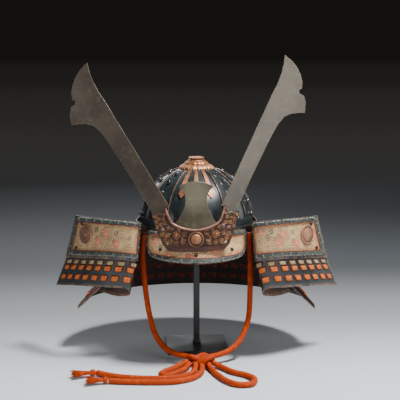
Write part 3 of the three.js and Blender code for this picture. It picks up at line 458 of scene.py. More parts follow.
def tube(shape, line, radius, sides, closed=False, relief=None):
    """A round bar along a line. Radius may change with the share of the length."""
    at = radius if callable(radius) else lambda share: radius
    count = len(line)
    ahead = []
    for i in range(count):
        before = line[i - 1] if closed or i else line[i]
        after = line[(i + 1) % count] if closed or i < count - 1 else line[i]
        ahead.append((after - before).normalized())
    side = ahead[0].cross(UP if abs(ahead[0].z) < 0.9 else Vector((0, 1, 0))).normalized()
    across = [side]
    for way in ahead[1:]:
        side = (side - way * side.dot(way)).normalized()
        across.append(side)
    slip = 0.0
    if closed:
        end = (side - ahead[0] * side.dot(ahead[0])).normalized()
        slip = atan2(end.cross(across[0]).dot(ahead[0]), end.dot(across[0]))
    rows, runs = [], runs_of(line + line[:1])
    for i, middle in enumerate(line):
        over = ahead[i].cross(across[i])
        row = []
        for j in range(sides):
            angle = 2 * pi * j / sides
            turned = angle + slip * i / count
            reach = at(i / max(count - 1, 1)) + (relief(runs[i], angle) if relief else 0)
            row.append(middle + (across[i] * cos(turned) + over * sin(turned)) * reach)
        rows.append(row)
    spread = 2 * pi * at(0.5) / sides
    shape.sheet(rows + rows[:1] if closed else rows, flat=lambda r, c: (runs[r], c * spread),
                ends=() if closed else (0, 0))


def braid_relief(run, angle):
    """Eight strands laid each way round a cord."""
    turn = run * 2 * pi / 26
    return 0.28 * max(sin(4 * (angle + turn)), sin(4 * (angle - turn))) - 0.12


def frame_at(place, out):
    """A placing matrix with its own Z along out."""
    out = out.normalized()
    across = UP.cross(out).normalized()
    turn = Matrix((across, out.cross(across), out)).transposed()
    return Matrix.Translation(place) @ turn.to_4x4()


def turned_disc(shape, placing, profile, sides, petals=0, depth=0.0, finish=0):
    """A turned piece on a placing matrix. A row of the profile is a reach and a height, and
    where petals are cut into it also its share of their depth."""
    rows = []
    for reach, height, *share in profile:
        row = []
        for j in range(sides):
            angle = 2 * pi * j / sides
            cut = depth * sum(share) * (1 - abs(sin(petals * angle / 2)))
            spot = ((reach - cut) * cos(angle), (reach - cut) * sin(angle), height - 0.6 * cut)
            row.append(placing @ Vector(spot))
        rows.append(row)
    shape.sheet(rows, finish)


# Cords, from the end nearer the helmet or the knot.
cord_routes = {
    "chin_cord_left": [
        (-98.5, -40, 226.1), (-99.6, -41, 210), (-100.5, -44, 191), (-94.5, -56, 123.5), (-86.5, -72, 80),
        (-75, -88, 46.5), (-57.5, -102, 26), (-37, -113, 17.5), (-11.4, -122.6, 14.8)],
    "chin_cord_right": [
        (98.5, -40, 226.1), (99.6, -41, 210), (100.5, -44, 191), (100, -56, 123.5), (95.7, -74, 71),
        (80.4, -92, 38), (61.7, -104, 22.5), (43, -114, 17), (23.3, -122.6, 14.8)],
    "cord_loop_left": [
        (-15.8, -134.6, 10), (-28, -146, 7), (-42, -163, 5.4), (-56, -181, 5.4), (-61, -197, 5.4),
        (-50, -203, 5.4), (-35, -188, 5.4), (-21, -168, 6), (-12, -146.4, 9)],
    "cord_loop_right": [
        (27.4, -135.6, 9.5), (43, -150, 5.8), (64, -181, 5.4), (88, -201, 5.4), (101, -224, 5.4),
        (94, -249, 5.4), (73, -253, 5.4), (55, -236, 5.4), (38, -200, 5.4), (27, -165, 5.8),
        (21.6, -146.4, 9)],
    "cord_tail_back": [
        (-0.5, -148.5, 8.8), (-4, -180, 5.6), (-20, -206, 5.4), (-45, -218, 5.4), (-70, -220, 5.4),
        (-97, -218, 5.4), (-131, -211, 5.4), (-158, -198, 5.6), (-173, -188.5, 6)],
    "cord_tail_front": [
        (10.4, -149.5, 8.8), (9, -185, 5.6), (-6, -216, 5.4), (-34, -235, 5.4), (-65, -239, 5.4),
        (-97, -238, 5.4), (-129, -236, 5.4), (-149, -233, 6)],
}
knot_place = Vector((6, -132, 12.3))
wrap_place = Vector((21, -142, 12.8))
tassel_ends = {
    "back": (Vector((-176.4, -190.8, 6.7)), Vector((-218, -206, 9.3))),
    "front": (Vector((-151.1, -232.9, 6.7)), Vector((-189, -240, 9.3))),
}


def make_knot():
    """A cord wound through itself, as a three-lobed knot."""
    along = Vector((0.75, -0.66, 0)).normalized()
    across = along.cross(UP)

    def lobes(angle):
        t = angle + 0.5
        return knot_place + Vector(((sin(t) + 2 * sin(2 * t)) * knot_lobes[0],
                                    (cos(t) - 2 * cos(2 * t)) * knot_lobes[1],
                                    -knot_lift * sin(3 * t)))

    def binding_turn(t):
        """Round the loops and tails where they leave the knot."""
        return (wrap_place + across * (wrap_radii[0] * cos(t)) + UP * (wrap_radii[1] * sin(t))
                + along * (wrap_slant * sin(t)))

    shape = Shape()
    for line in (looped(96, lobes), looped(64, binding_turn)):
        tube(shape, line, cord_diameter / 2, 24, True, braid_relief)
    return piece("tied_knot", shape, [cord_silk], "cord", ["cord_knot"], 60)


def make_tassel(side):
    """A bound head and a fan of loose threads."""
    begin, end = tassel_ends[side]
    axis = (end - begin).normalized()
    length = (end - begin).length
    across = axis.cross(UP).normalized()
    over = across.cross(axis)
    shape = Shape()
    collar = [begin + axis * (length * s) for s in steps(0.0, 0.2, 8)]
    bulge = lambda s: 4.6 + 1.7 * sin(pi * s)
    tube(shape, collar, bulge, 20, relief=lambda run, angle: 0.25 * sin(run * 3))
    for i in range(thread_count):
        angle = i * thread_turn
        spread = sqrt((i + 0.5) / thread_count)
        reach = length * chance.uniform(0.84, 1.0)
        sway = chance.uniform(-0.5, 0.5)
        line = []
        for s in steps(0.12, 1, 7):
            fan = mix(3.6, 12.5, s ** 1.4) * spread
            turn = angle + sway * s
            lift = over * (sin(turn) * fan * 0.5) + across * (cos(turn) * fan)
            line.append(begin + axis * (reach * s) + lift)
        tube(shape, line, lambda s: mix(0.85, 0.35, s), 5)
    return piece(f"thread_tassel_{side}", shape, [cord_silk], "cord", [f"tassel_{side}"], 60)


knot = make_knot()
tassels = {side: make_tassel(side) for side in tassel_ends}


def make_cord(name):
    line = evenly([Vector(p) for p in cord_routes[name]], 1.0)
    shape = Shape()
    tube(shape, line, cord_diameter / 2, 24, relief=braid_relief)
    cord = piece(f"braid_{name}", shape, [cord_silk], "cord", [name], 60)
    path = [p * MM for p in line[:-2:4]] + [line[-1] * MM]
    [x * MM for x in cord_routes[name][0]]
    runs_of(line)[-1] * MM


make_cord("chin_cord_left")
make_cord("chin_cord_right")
make_cord("cord_loop_left")
make_cord("cord_loop_right")
make_cord("cord_tail_back")
make_cord("cord_tail_front")


# The bowl.
def bowl_point(turn, rise, lift=0.0):
    flat = cos(rad(rise))
    return Vector(((bowl_width / 2 + lift) * flat * sin(rad(turn)),
                   -(bowl_length / 2 + lift) * flat * cos(rad(turn)),
                   rim_height + (bowl_height + lift) * sin(rad(rise))))


def make_bowl():
    turns = steps(0, 360, 144)[:-1]
    rises = steps(0, 89, 40)
    outer = [[bowl_point(t, r) for t in turns] for r in rises]
    inner = [[bowl_point(t, r, -bowl_wall) for t in turns] for r in rises]
    shape = Shape()
    # The bowl's inside takes the red-brown lacquer painted darker as shade.
    lining = lambda r, c: int(r > len(rises))
    shape.sheet(list(reversed(outer)) + inner, lining, ends=(0, 1))
    piece("bowl_shell", shape, [lacquer, lame_inner_painted_shade], "bowl", ["bowl"])


def make_ridges():
    profile = [(-1.9, -0.2), (-1.5, 1.0), (-0.9, 2.3), (-0.5, 2.9), (0, 3.05), (0.5, 2.9), (0.9, 2.3),
               (1.5, 1.0), (1.9, -0.2)]
    crest = lambda r, c: int(2 <= c <= 5)
    shape = Shape()
    for turn in range(30, 360, 30):
        rows = []
        for rise in steps(ridge_low, ridge_high, 40):
            fade = min(1, (rise - ridge_low + 1) / 5, (ridge_high + 1.5 - rise) / 4)
            around = bowl_width / 2 * cos(rad(rise))
            rows.append([bowl_point(turn + degrees(x / around), rise, h * fade if h > 0 else h)
                         for x, h in profile])
        shape.sheet(rows, crest, around=False)
    piece("bowl_ridges", shape, [lacquer, ridge_copper], "bowl")


def make_bowl_rivets():
    seat = [(5.6, 0), (5.5, 0.7), (4.6, 1.2), (3.6, 1.3)]
    head = [(3.7, 0.9), (3.6, 2.2), (3.0, 3.6), (2.0, 4.9), (0.9, 5.6), (0.2, 5.7)]
    seats, heads = Shape(), Shape()
    for turn in range(45, 345, 30):
        for rise in rivet_rises:
            foot = bowl_point(turn, rise, -0.2)
            placing = frame_at(foot, bowl_point(turn, rise, 5) - foot)
            size = mix(1.35, 1.1, rise / rivet_rises[-1])
            turned_disc(seats, placing, [(r * size, h) for r, h in seat], 16)
            turned_disc(heads, placing, [(r * size, h * size) for r, h in head], 14)
    piece("rivet_seats", seats, [seat_iron], "bowl")
    piece("rivet_heads", heads, [rivet_iron], "bowl")


def make_finial():
    """A petal ring with beads round its edge, a smaller petal ring on it and a turned knob."""
    top = Matrix.Translation((0, 0, bowl_height + rim_height))
    lower = [(27, -5.0), (31.6, -3.6, 1), (32.8, -2.2, 1), (32.0, -0.6, 1), (28.5, 1.6, 1),
             (24.5, 3.6, 0.8), (22.0, 4.6, 0.3), (21.4, 4.8)]
    upper = [(21.6, 4.4, 0.4), (22.6, 5.2, 1), (21.8, 6.6, 1), (19.4, 8.4, 0.9), (17.2, 9.6, 0.5),
             (16.2, 10.0)]
    knob = [(15.8, 9.8), (16.4, 10.6), (15.6, 11.6), (13.2, 12.2), (12.4, 13.0), (14.6, 14.2),
            (14.8, 15.6), (13.0, 16.8), (10.4, 17.2), (6.4, 16.6), (0.6, 16.4)]
    bead = [(0.4, -1.6), (1.3, -1.0), (1.7, 0), (1.3, 1.0), (0.4, 1.6)]
    shape = Shape()
    turned_disc(shape, top, lower, 192, 16, 1.1)
    turned_disc(shape, top, upper, 144, 12, 0.7)
    turned_disc(shape, top, knob, 64)
    for spot in looped(bead_count, lambda t: Vector((bead_circle * cos(t), bead_circle * sin(t), -4.0))):
        turned_disc(shape, top @ Matrix.Translation(spot), bead, 8)
    piece("crown_finial", shape, [finial_gilt], "gilt", ["crown_ring", "crown_tiers"])


# Plates that follow a surface of two shares.
def visor_surface(u, v):
    top_turn, foot_turn = rad(visor_top_turn * u), rad(visor_foot_turn * u)
    reach = band_thickness + touch_gap
    top = Vector(((bowl_width / 2 + reach) * sin(top_turn),
                  -(bowl_length / 2 + reach) * cos(top_turn), rim_height - 2 * touch_gap))
    foot = Vector((visor_foot_half_width * sin(foot_turn),
                   -visor_foot_setback - visor_foot_reach * cos(foot_turn),
                   visor_foot_height + visor_corner_rise * (1 - cos(foot_turn))))
    sag = visor_sag * sin(pi * min(max(v, 0), 1))
    return top.lerp(foot, v) + Vector((0, -sag, sag * 0.3))


def outward_at(surface, u, v):
    down = surface(u, v + 0.004) - surface(u, v - 0.004)
    along = surface(u + 0.004, v) - surface(u - 0.004, v)
    return down.cross(along).normalized()


def lifted(surface, u, v, lift):
    return surface(u, v) + outward_at(surface, u, v) * lift


# Half of the neck guard in plan. Columns: turn from the back, pinch of the middle and low lines.
guard_arc = [(0, 1, 1), (22.5, 1, 1), (45, 1, 1), (67.5, 0.99, 0.97), (90, 0.97, 0.92)]
# The turned-back part, for the top, middle and low line. Out is a share of the way from the
# guard's half width to the wing's reach. Columns: out, ahead, rise.
guard_turn = [
    ((0.0158, 0.41, 0.0), (0.1970, 0.41, 0.0), (0.3433, 0.39, 0.0)),
    ((-0.0241, 0.66, 0.04), (0.0739, 0.66, -0.04), (0.2086, 0.61, 0.04)),
    ((-0.0491, 0.87, 0.17), (-0.0059, 0.87, 0.1), (0.0856, 0.79, 0.33)),
    ((0.0058, 1.0, 0.29), (0.0606, 1.0, 0.25), (0.1288, 0.95, 0.92)),
    ((0.1687, 1.0, 0.42), (0.2568, 0.96, 0.33), (0.3350, 0.9, 1.0)),
    ((0.3516, 0.82, 0.42), (0.4597, 0.76, 0.21), (0.5644, 0.67, 0.88)),
    ((0.5461, 0.53, 0.33), (0.6625, 0.45, 0.0), (0.7922, 0.36, 0.67)),
    ((0.7423, 0.18, 0.25), (0.8770, 0.08, -0.25), (1.0000, -0.05, 0.33)),
]
guard_controls = len(guard_arc) + len(guard_turn) - 1
wing_from = (len(guard_arc) + 2.4) / guard_controls
wing_to = 0.985


def guard_line(edge, drop):
    line = []
    for turn, mid, low in guard_arc:
        pinch = (1, mid, low)[edge]
        line.append(Vector(((guard_wide + flare_side * drop) * sin(rad(turn)) * pinch,
                            (guard_long + flare_back * drop) * cos(rad(turn)), guard_top - drop)))
    for out, ahead, rise in [row[edge] for row in guard_turn]:
        line.append(Vector((mix(guard_wide, wing_reach, out), -ahead * wing_depth,
                            guard_top - drop + rise * wing_rise)))
    return [Vector((-line[1].x, line[1].y, line[1].z))] + line


def mirrored(line):
    """Both halves of a line: u runs from the right end (-1) past the back to the left end (1)."""
    def at(u):
        point = spline(line, (min(abs(u), 1) * guard_controls + 1) / (guard_controls + 1), False)
        return Vector((-point.x if u > 0 else point.x, point.y, point.z))
    return at


top_at = mirrored(guard_line(0, 0))
mid_at = mirrored(guard_line(1, guard_drop))
low_at = mirrored(guard_line(2, guard_drop + second_drop))
third_end = (len(guard_arc) - 1 + 0.45) / guard_controls
turn_share = len(guard_arc) / guard_controls


def first_surface(u, v):
    return top_at(u).lerp(mid_at(u), v)


def second_surface(u, v):
    return lifted(first_surface, u, 1 - lame_overlap, lame_step).lerp(low_at(u), v)


def third_surface(u, v):
    drop = guard_drop + second_drop + third_drop
    turn = rad(u / third_end * 97)
    foot = Vector((-(guard_wide + flare_side * drop) * sin(turn),
                   (guard_long + flare_back * drop) * cos(turn), guard_top - drop))
    return lifted(second_surface, u, 1 - lower_overlap, lame_step).lerp(foot, v)


def make_lame(name, surface, ends, count, node, bare_from):
    """A curved plate with rounded rims. Past bare_from its outer side is red-brown."""
    last = 10
    across = steps(0, 1, last)
    profile = [(v, lame_thickness) for v in across] + [(1.006, lame_thickness / 2)]
    profile += [(v, 0.0) for v in reversed(across)] + [(-0.006, lame_thickness / 2)]
    rims = (0, last, last + 1, last + 2, len(profile) - 1)
    stations = steps(-ends, ends, count)
    rows = [[lifted(surface, u, v, lift) for v, lift in profile] for u in stations]
    wear = lambda r, c: float(c in rims or r in (0, count))

    def face(r, c):
        if c <= last:
            return 2 if abs(stations[r]) > bare_from else 0
        # The inner face at the back takes the darker copy of the red-brown lacquer: painted shade.
        return 1 if last + 1 < c < len(profile) - 2 and abs(stations[r]) < turn_share else 0

    shape = Shape()
    shape.sheet(rows, face, wear)
    piece(name, shape, [lame_outer, lame_inner_painted_shade, lame_under], "lame", [node])


def columns(surface, v, ends):
    """Shares along a plate for pads that lie about a pad gap apart, alike on both halves."""
    us = steps(0, ends, 400)
    run = runs_of([surface(u, v) for u in us])
    room = run[-1] - pad_end_room
    count = round(room / pad_gap - 0.5)
    found = []
    for n in range(count + 1):
        goal = room * (n + 0.5) / (count + 0.5)
        found.append(us[next(i for i, r in enumerate(run) if r >= goal)])
    return found + [-u for u in found]


def pad(shape, surface, u, v, side, size):
    """One crowned square of lacing on the outer (1) or inner (-1) face of a lame."""
    wide, high, crown = size
    lift = lame_thickness if side > 0 else 0
    place = lifted(surface, u, v, lift)
    out = outward_at(surface, u, v) * side
    down = (surface(u, v + 0.01) - surface(u, v - 0.01)).normalized()
    across = (surface(u + 0.004, v) - surface(u - 0.004, v)).normalized()
    last_row, last_column = 7, 8
    loops = []
    for s in steps(-1, 1, last_row):
        row, foot = [], []
        for t in steps(-1, 1, last_column):
            taper = 1 - 0.1 * max(s, 0) - 0.06 * abs(s) ** 3
            at = place + across * (t * wide / 2 * taper) + down * (s * high / 2 * (1 - 0.08 * t * t))
            swell = (1 - abs(t) ** 4) * (1 - abs(s) ** 4)
            ply = 0.22 * abs(sin((s * high / 2 + abs(t) * 2.4) * 1.9)) * swell
            row.append(at + out * (0.15 + crown * swell ** 0.7 + ply))
            foot.append(at + out * 0.1)
        loops.append(row + foot[::-1])
    flat = lambda r, c: (r * high / last_row, min(c, 2 * last_column + 1 - c) * wide / last_column)
    # The pad's rim faces take the dark silk: painted shade between the pads.
    shaded = lambda r, c: int(r in (0, last_row - 1) or c == 0 or c > last_column - 2)
    shape.sheet(loops, shaded, flat=flat)


def make_lacing():
    # Columns: surface, its end, share down the plate outside and inside at the back, silk outside,
    # height of the pads.
    rows = [
        (second_surface, 0.99, 0.21, 0.2, "cream", 10),
        (second_surface, 0.99, 0.395, 0.45, "orange", 12.5),
        (second_surface, 0.99, 0.71, 0.83, "orange", 13.5),
        (first_surface, wing_from - 0.1, 0.61, 0.62, "cream", 10),
        (first_surface, wing_from - 0.1, 0.79, 0.79, "orange", 12.5),
        (third_surface, third_end * 0.97, 0.55, 0.55, "orange", 12),
    ]
    silks = {"inner": Shape(), "cream": Shape(), "orange": Shape()}
    for surface, end, outer_v, inner_v, silk, high in rows:
        for u in columns(surface, outer_v, end):
            size = (pad_width, high, pad_crown)
            pad(silks[silk], surface, u, outer_v, 1, size)
            if abs(u) > turn_share:
                pad(silks[silk], surface, u, outer_v, -1, size)
            else:
                # Inside at the back the pads take the dim copy of the silk: painted shade.
                size = (inner_pad_width, high * 1.05, inner_pad_crown)
                pad(silks["inner"], surface, u, inner_v, -1, size)
    for (silk, shape), finish in zip(silks.items(), (pad_dim_painted_shade, pad_cream, pad_orange)):
        piece(f"{silk}_lacing", shape, [finish, pad_shade], "cord")


def stretch(surface, u0, u1, v):
    """The length of a line across a surface."""
    return runs_of([surface(u, v) for u in steps(u0, u1, 60)])[-1]


def rounded_loop(length, depth, inset, radius, along, foot=0):
    """A rectangle's loop of (a, b) places, drawn in by an inset, with round corners. Those at
    the far end of b take the foot's radius if there is one."""
    a1, b1 = length - inset, depth - inset
    r, q = max(radius - inset, 0.4), max((foot or radius) - inset, 0.4)
    corners = [(a1 - r, inset + r, -90, r), (a1 - q, b1 - q, 0, q), (inset + q, b1 - q, 90, q),
               (inset + r, inset + r, 180, r)]
    arcs = [[(a + turn * cos(rad(first + d)), b + turn * sin(rad(first + d)))
             for d in steps(0, 90, 7)] for a, b, first, turn in corners]
    loop = []
    for k, arc in enumerate(arcs):
        start, end = arc[-1], arcs[(k + 1) % 4][0]
        gap = steps(0, 1, along[k % 2])[1:-1]
        loop += arc + [(mix(start[0], end[0], s), mix(start[1], end[1], s)) for s in gap]
    return loop


def slab(at, length, depth, inset, foot, low, high, columns_a, rows_b):
    """A sheet from the low to the high lift, with its foot corners rounded."""
    turn = max((foot or inset) - inset, 0)
    loops, places = [], []
    for s in steps(0, 1, rows_b):
        b = mix(inset, depth - inset, s)
        past = max(b - (depth - inset - turn), 0)
        side = inset + turn - sqrt(max(turn * turn - past * past, 0))
        spots = [mix(side, length - side, t) for t in steps(0, 1, columns_a)]
        loops.append([at(a, b, high) for a in spots] + [at(a, b, low) for a in reversed(spots)])
        places.append([(a, b) for a in spots + spots[::-1]])

    def edge_nearness(r, c):
        a, b = places[r][c]
        near = min(a - inset, length - inset - a, b - inset, depth - inset - b)
        return max(0.0, 1 - near / 10)

    shape = Shape()
    shape.sheet(loops, 0, edge_nearness, lambda r, c: places[r][c])
    return shape


def stitch_spots(loop):
    """Places a stitch gap apart on a closed loop, each with the loop's direction there."""
    spots, run, following = [], 0.0, stitch_gap / 2
    for (a, b), (c, d) in zip(loop, loop[1:] + loop[:1]):
        size = hypot(c - a, d - b)
        while size > 0 and run + size >= following:
            share = (following - run) / size
            spots.append((mix(a, c, share), mix(b, d, share), (c - a) / size, (d - b) / size))
            following += stitch_gap
        run += size
    return spots


def face_plate(prefix, face, span, middle, node, counts, foot=0):
    """The leather, its bound edge, the piping between them and the stitches on the edge. The
    span is where it begins and ends across and down the face, and its middle is measured."""
    u0, u1, v0, v1 = span
    length = stretch(face, u0, u1, middle[1])
    depth = (face(middle[0], v1) - face(middle[0], v0)).length
    at = lambda a, b, lift: lifted(face, mix(u0, u1, a / length), mix(v0, v1, b / depth), lift)
    low, high = face_gap, face_gap + border_thickness
    along = (counts[1], counts[0])
    # Columns: inset from the edge, lift over the face, wear.
    profile = [(0, low, 1.0), (0, mix(low, high, 0.6), 1.0), (0.7, high, 0.8), (2.2, high + 0.2, 0.15),
               (4, high + 0.25, 0.0), (5.8, high + 0.2, 0.0), (7.3, high, 0.2),
               (8, mix(low, high, 0.6), 0.3), (8, low, 0.2)]
    loops = [[at(a, b, lift) for a, b in rounded_loop(length, depth, inset, 9, along, foot)]
             for inset, lift, _ in profile]
    wear = lambda r, c: profile[r % len(profile)][2]
    shape = Shape()
    shape.sheet(loops + loops[:1], 0, wear, ends=())
    piece(f"{prefix}_binding", shape, [border_hide], "border", [node.format("border")])

    inner, hide_top = border_width + 0.35, low + leather_thickness
    shape = slab(at, length, depth, inner, foot, low, hide_top, counts[0], 24 if foot else 12)
    piece(f"{prefix}_leather_face", shape, [leather], "leather", [node.format("leather")])

    shape = Shape()
    loop = rounded_loop(length, depth, border_width + 0.9, 10, along, foot)
    line = [at(a, b, hide_top + piping_radius) for a, b in loop]
    tube(shape, line, piping_radius, 8, True)
    piece(f"{prefix}_piping", shape, [piping_silk], "cord")

    shape = Shape()
    for a, b, da, db in stitch_spots(rounded_loop(length, depth, border_width / 2, 6, along, foot)):
        for sign in (1, -1):
            line = []
            for s in steps(-1, 1, 6):
                p, q = s * 1.1 * sign, s * 2.3
                lift = high + 0.25 + 0.45 * (1 - s * s) + (0.3 if sign > 0 else 0)
                line.append(at(a + da * p - db * q, b + db * p + da * q, lift))
            tube(shape, line, stitch_radius, 6)
    piece(f"{prefix}_stitches", shape, [stitch_silk], "border")


def make_stud(name, surface, u, v, node):
    """A small domed rivet on the leather."""
    lift = face_gap + leather_thickness + touch_gap - 0.2
    dome = [(stud_radius * 0.92 * cos(rad(a)),
             mix(stud_flange, stud_height, sin(rad(a)))) for a in steps(0, 86, 6)]
    shape = Shape()
    turned_disc(shape, frame_at(lifted(surface, u, v, lift), outward_at(surface, u, v)),
                [(stud_radius, 0), (stud_radius, stud_flange)] + dome, 20)
    piece(name, shape, [small_iron], "lame", [node])


def make_visor():
    face = visor_surface
    length = stretch(face, -1, 1, 0.55)
    depth = (face(0, 1) - face(0, 0)).length
    at = lambda a, b, lift: lifted(face, 2 * a / length - 1, b / depth, lift)
    shell = slab(at, length, depth, 0, visor_foot_round + 1.5, -visor_thickness, 0, 64, 40)
    piece("visor_shell", shell, [lame_outer], "lame", ["visor_plate"])
    end, top = 0.985, 0.1
    face_plate("visor", face, (-end, end, top, end), (0, 0.55), "visor_{}", (64, 10), visor_foot_round)
    for name, u, v in (("left", -0.6, 0.66), ("middle", 0, 0.74), ("right", 0.6, 0.66)):
        make_stud(f"visor_stud_{name}", face, u, v, f"visor_rivet_{name}")


# The bosses of the wings. Each has a profile and the rows of it that are grooves, painted dark as shade.
wing_bosses = {
    "left": ([(18, 0), (18, 1.4), (17.2, 2.3), (15.6, 2.5), (14.6, 1.7), (12.8, 1.7), (11.6, 2.5),
              (10.4, 2.6), (9.6, 1.8), (8.2, 1.8), (7.4, 2.6), (6.2, 2.7), (5.4, 2.0), (4.2, 2.0),
              (3.4, 2.9), (1.6, 3.3), (0.3, 3.4)], (3, 4, 5, 7, 8, 9, 11, 12, 13)),
    "right": ([(18, 0), (18, 1.2), (17, 2.2), (15.4, 2.4), (14.4, 1.7), (13.4, 1.7), (12.2, 2.8),
               (9.4, 3.8), (6.0, 4.5), (2.6, 4.9), (0.4, 5.0)], (3, 4, 5)),
}


def make_wing(name):
    if name == "right":
        face = lambda u, v: first_surface(-u, v)
        toward_tip = lambda s: mix(wing_from, wing_to, s)
    else:
        face = lambda u, v: first_surface(wing_from + wing_to - u, v)
        toward_tip = lambda s: mix(wing_to, wing_from, s)
    span = (wing_from, wing_to, 0.015, 0.93)
    face_plate(f"wing_{name}", face, span, (0.8, 0.45), "wing_{}_" + name, (44, 14))
    u = toward_tip(disc_share)
    lift = face_gap + leather_thickness + 0.4
    placing = frame_at(lifted(face, u, disc_level, lift), outward_at(face, u, disc_level))
    profile, grooves = wing_bosses[name]
    shape = Shape()
    turned_disc(shape, placing, profile, 56, finish=lambda r, c: int(r in grooves))
    piece(f"wing_disc_{name}", shape, [wing_copper, wing_groove_painted_shade], "copper", [f"wing_boss_{name}"], 55)
    for level, v in (("upper", 0.17), ("lower", 0.76)):
        make_stud(f"wing_stud_{level}_{name}", face, toward_tip(wing_stud_share), v,
                  f"wing_rivet_{level}_{name}")


# The fittings at the front. The horns stand in a base, the dai.
dai_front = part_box("kuwagata_dai")[0].y / MM + 1
plan_radius = dai_flat_from / sin(rad(dai_yaw))


def plan_setback(across):
    """How far the horn base's face lies behind its middle: a round part, then straight ends."""
    reach, yaw = abs(across), rad(dai_yaw)
    if reach <= dai_flat_from:
        return plan_radius - sqrt(plan_radius ** 2 - reach ** 2)
    return plan_radius * (1 - cos(yaw)) + (reach - dai_flat_from) * tan(yaw)


def front_spot(across, up, lift):
    """A place on the horn base's face, rolled with it about the middle of the boss."""
    roll, z = rad(-front_roll), up - boss_rise
    return Vector((across * cos(roll) + z * sin(roll),
                   dai_front + plan_setback(across) - lift,
                   dai_bottom + boss_rise - across * sin(roll) + z * cos(roll)))


def front_placing(across, up, lift):
    slope = copysign(rad(dai_yaw), across)
    if abs(across) < dai_flat_from:
        slope = asin(across / plan_radius)
    return frame_at(front_spot(across, up, lift), Vector((sin(slope), -cos(slope), 0)))


# The inner edge of one half, in shares of the half width and the height.
inner_edge = [(0.67, 1.0), (0.62, 0.85), (0.54, 0.68), (0.38, 0.585), (0.2, 0.53), (0.0, 0.505)]

# Spirals of the scroll on one half. Columns: across, up, radius, turning.
scrolls = [
    (19.5, 33, 5.2, 1), (23, 17.5, 5.0, -1), (29, 41.5, 3.6, -1), (34.5, 16, 4.6, 1), (45.5, 18, 5.2, -1),
    (55, 22.5, 4.2, 1), (49, 31, 4.6, 1), (59.5, 31, 4.2, -1), (41, 43, 3.4, 1), (53.5, 51, 3.8, -1),
    (61.5, 49.5, 3.8, 1), (67.5, 43, 3.0, -1), (69, 54.5, 3.4, 1), (56, 59, 3.2, 1), (53, 68, 3.0, -1),
    (73.5, 63.5, 2.8, -1), (64, 58.5, 2.2, -1),
]


def make_scroll():
    """Spirals, each with a bud in it and a stem from the one before."""
    bud = [(1.3, 0), (1.25, 0.7), (0.8, 1.2), (0.2, 1.4)]
    shape = Shape()
    for side in (-1, 1):
        previous = None
        for across, up, radius, turning in scrolls:
            line = []
            for s in steps(0, 1, 26):
                angle = turning * side * (s * 2 * pi * 1.45 + 0.6)
                reach = radius * mix(1, 0.16, s)
                line.append(front_spot(side * across + reach * cos(angle),
                                       up + reach * sin(angle), 0.35))
            tube(shape, line, lambda s: mix(0.85, 0.6, s), 6)
            turned_disc(shape, front_placing(side * across, up, 0.1), bud, 10)
            if previous:
                p, q = previous
                middle = ((p + across) / 2 + 2, (q + up) / 2 + 2)
                stem = [front_spot(side * x, y, 0.15) for x, y in ((p, q - 2), middle, (across, up - 2))]
                tube(shape, evenly(stem, 1.5), 0.6, 5)
            previous = (across, up)
    piece("horn_base_scroll", shape, [scroll_copper], "copper")


def make_horn_base():
    refined("kuwagata_dai", "horn_base_plate", dai_copper, scroll_copper, "copper", 0.3)
    make_scroll()
    half = [Vector((a * dai_half_width, u * dai_height, 0)) for a, u in inner_edge]
    edge = half + [Vector((-p.x, p.y, 0)) for p in reversed(half[:-1])]
    shape = Shape()
    tube(shape, [front_spot(p.x, p.y - 1.2, 1.1) for p in evenly(edge, 2.0)], 1.9, 10)
    piece("horn_base_rim", shape, [rim_copper], "copper")
    rows = []
    for x in steps(-strip_reach, strip_reach, 40):
        high = mix(2, strip_high, min(1, (strip_reach - abs(x)) / 6))
        rows.append([front_spot(x, up, lift) for up, lift in
                     ((strip_low, -0.2), (strip_low, 0.7), (high, 0.7), (high, -0.2))])
    shape = Shape()
    shape.sheet(rows)
    piece("horn_base_strip", shape, [strip_lacquer], "copper")


def make_horn_base_fittings():
    boss = [(14, 0), (14, 1.6), (13.4, 2.4), (12.2, 2.6), (11.2, 1.8), (10.3, 1.8), (9.7, 2.9),
            (8.9, 4.4), (7.2, 5.6), (4.4, 6.4), (2.4, 6.6), (1.9, 7.2), (0.3, 7.4)]
    rosette = [(7.5, 0, 1), (7.5, 1.0, 1), (6.9, 1.9, 1), (5.0, 2.6, 1), (3.4, 2.2, 0.3), (3.0, 2.4),
               (2.8, 3.3), (1.8, 4.0), (0.3, 4.2)]
    blossom = [(4.3, 0, 1), (4.3, 0.6, 1), (3.6, 1.3, 1), (2.2, 1.3, 0.5), (1.5, 1.5), (1.3, 2.1),
               (0.3, 2.5)]
    shape = Shape()
    # The groove rows take the dark copper: painted shade in the groove.
    groove = lambda r, c: int(r in (3, 4, 5))
    turned_disc(shape, front_placing(0, boss_rise, 0.4), boss, 64, finish=groove)
    piece("horn_base_boss", shape, [boss_copper, groove_copper_painted_shade], "copper", ["dai_boss"], 55)
    for side, name in ((-1, "left"), (1, "right")):
        # Columns: piece, solid, finish, slot, profile, across, up, petals, points round it.
        for title, node, finish, slot, profile, across, up, petals, sides in (
                ("horn_base_rosette", "dai_rosette", boss_copper, "copper", rosette, 35, 29.8, 10, 80),
                ("blossom_inner", "dai_blossom_inner", blossom_metal, "gilt", blossom, 48.2, 44.8, 5, 60),
                ("blossom_outer", "dai_blossom_outer", blossom_metal, "gilt", blossom, 58.6, 41, 5, 60)):
            shape = Shape()
            turned_disc(shape, front_placing(side * across, up, 0.4), profile, sides, petals, 1.5)
            piece(f"{title}_{name}", shape, [finish], slot, [f"{node}_{name}"], 60)


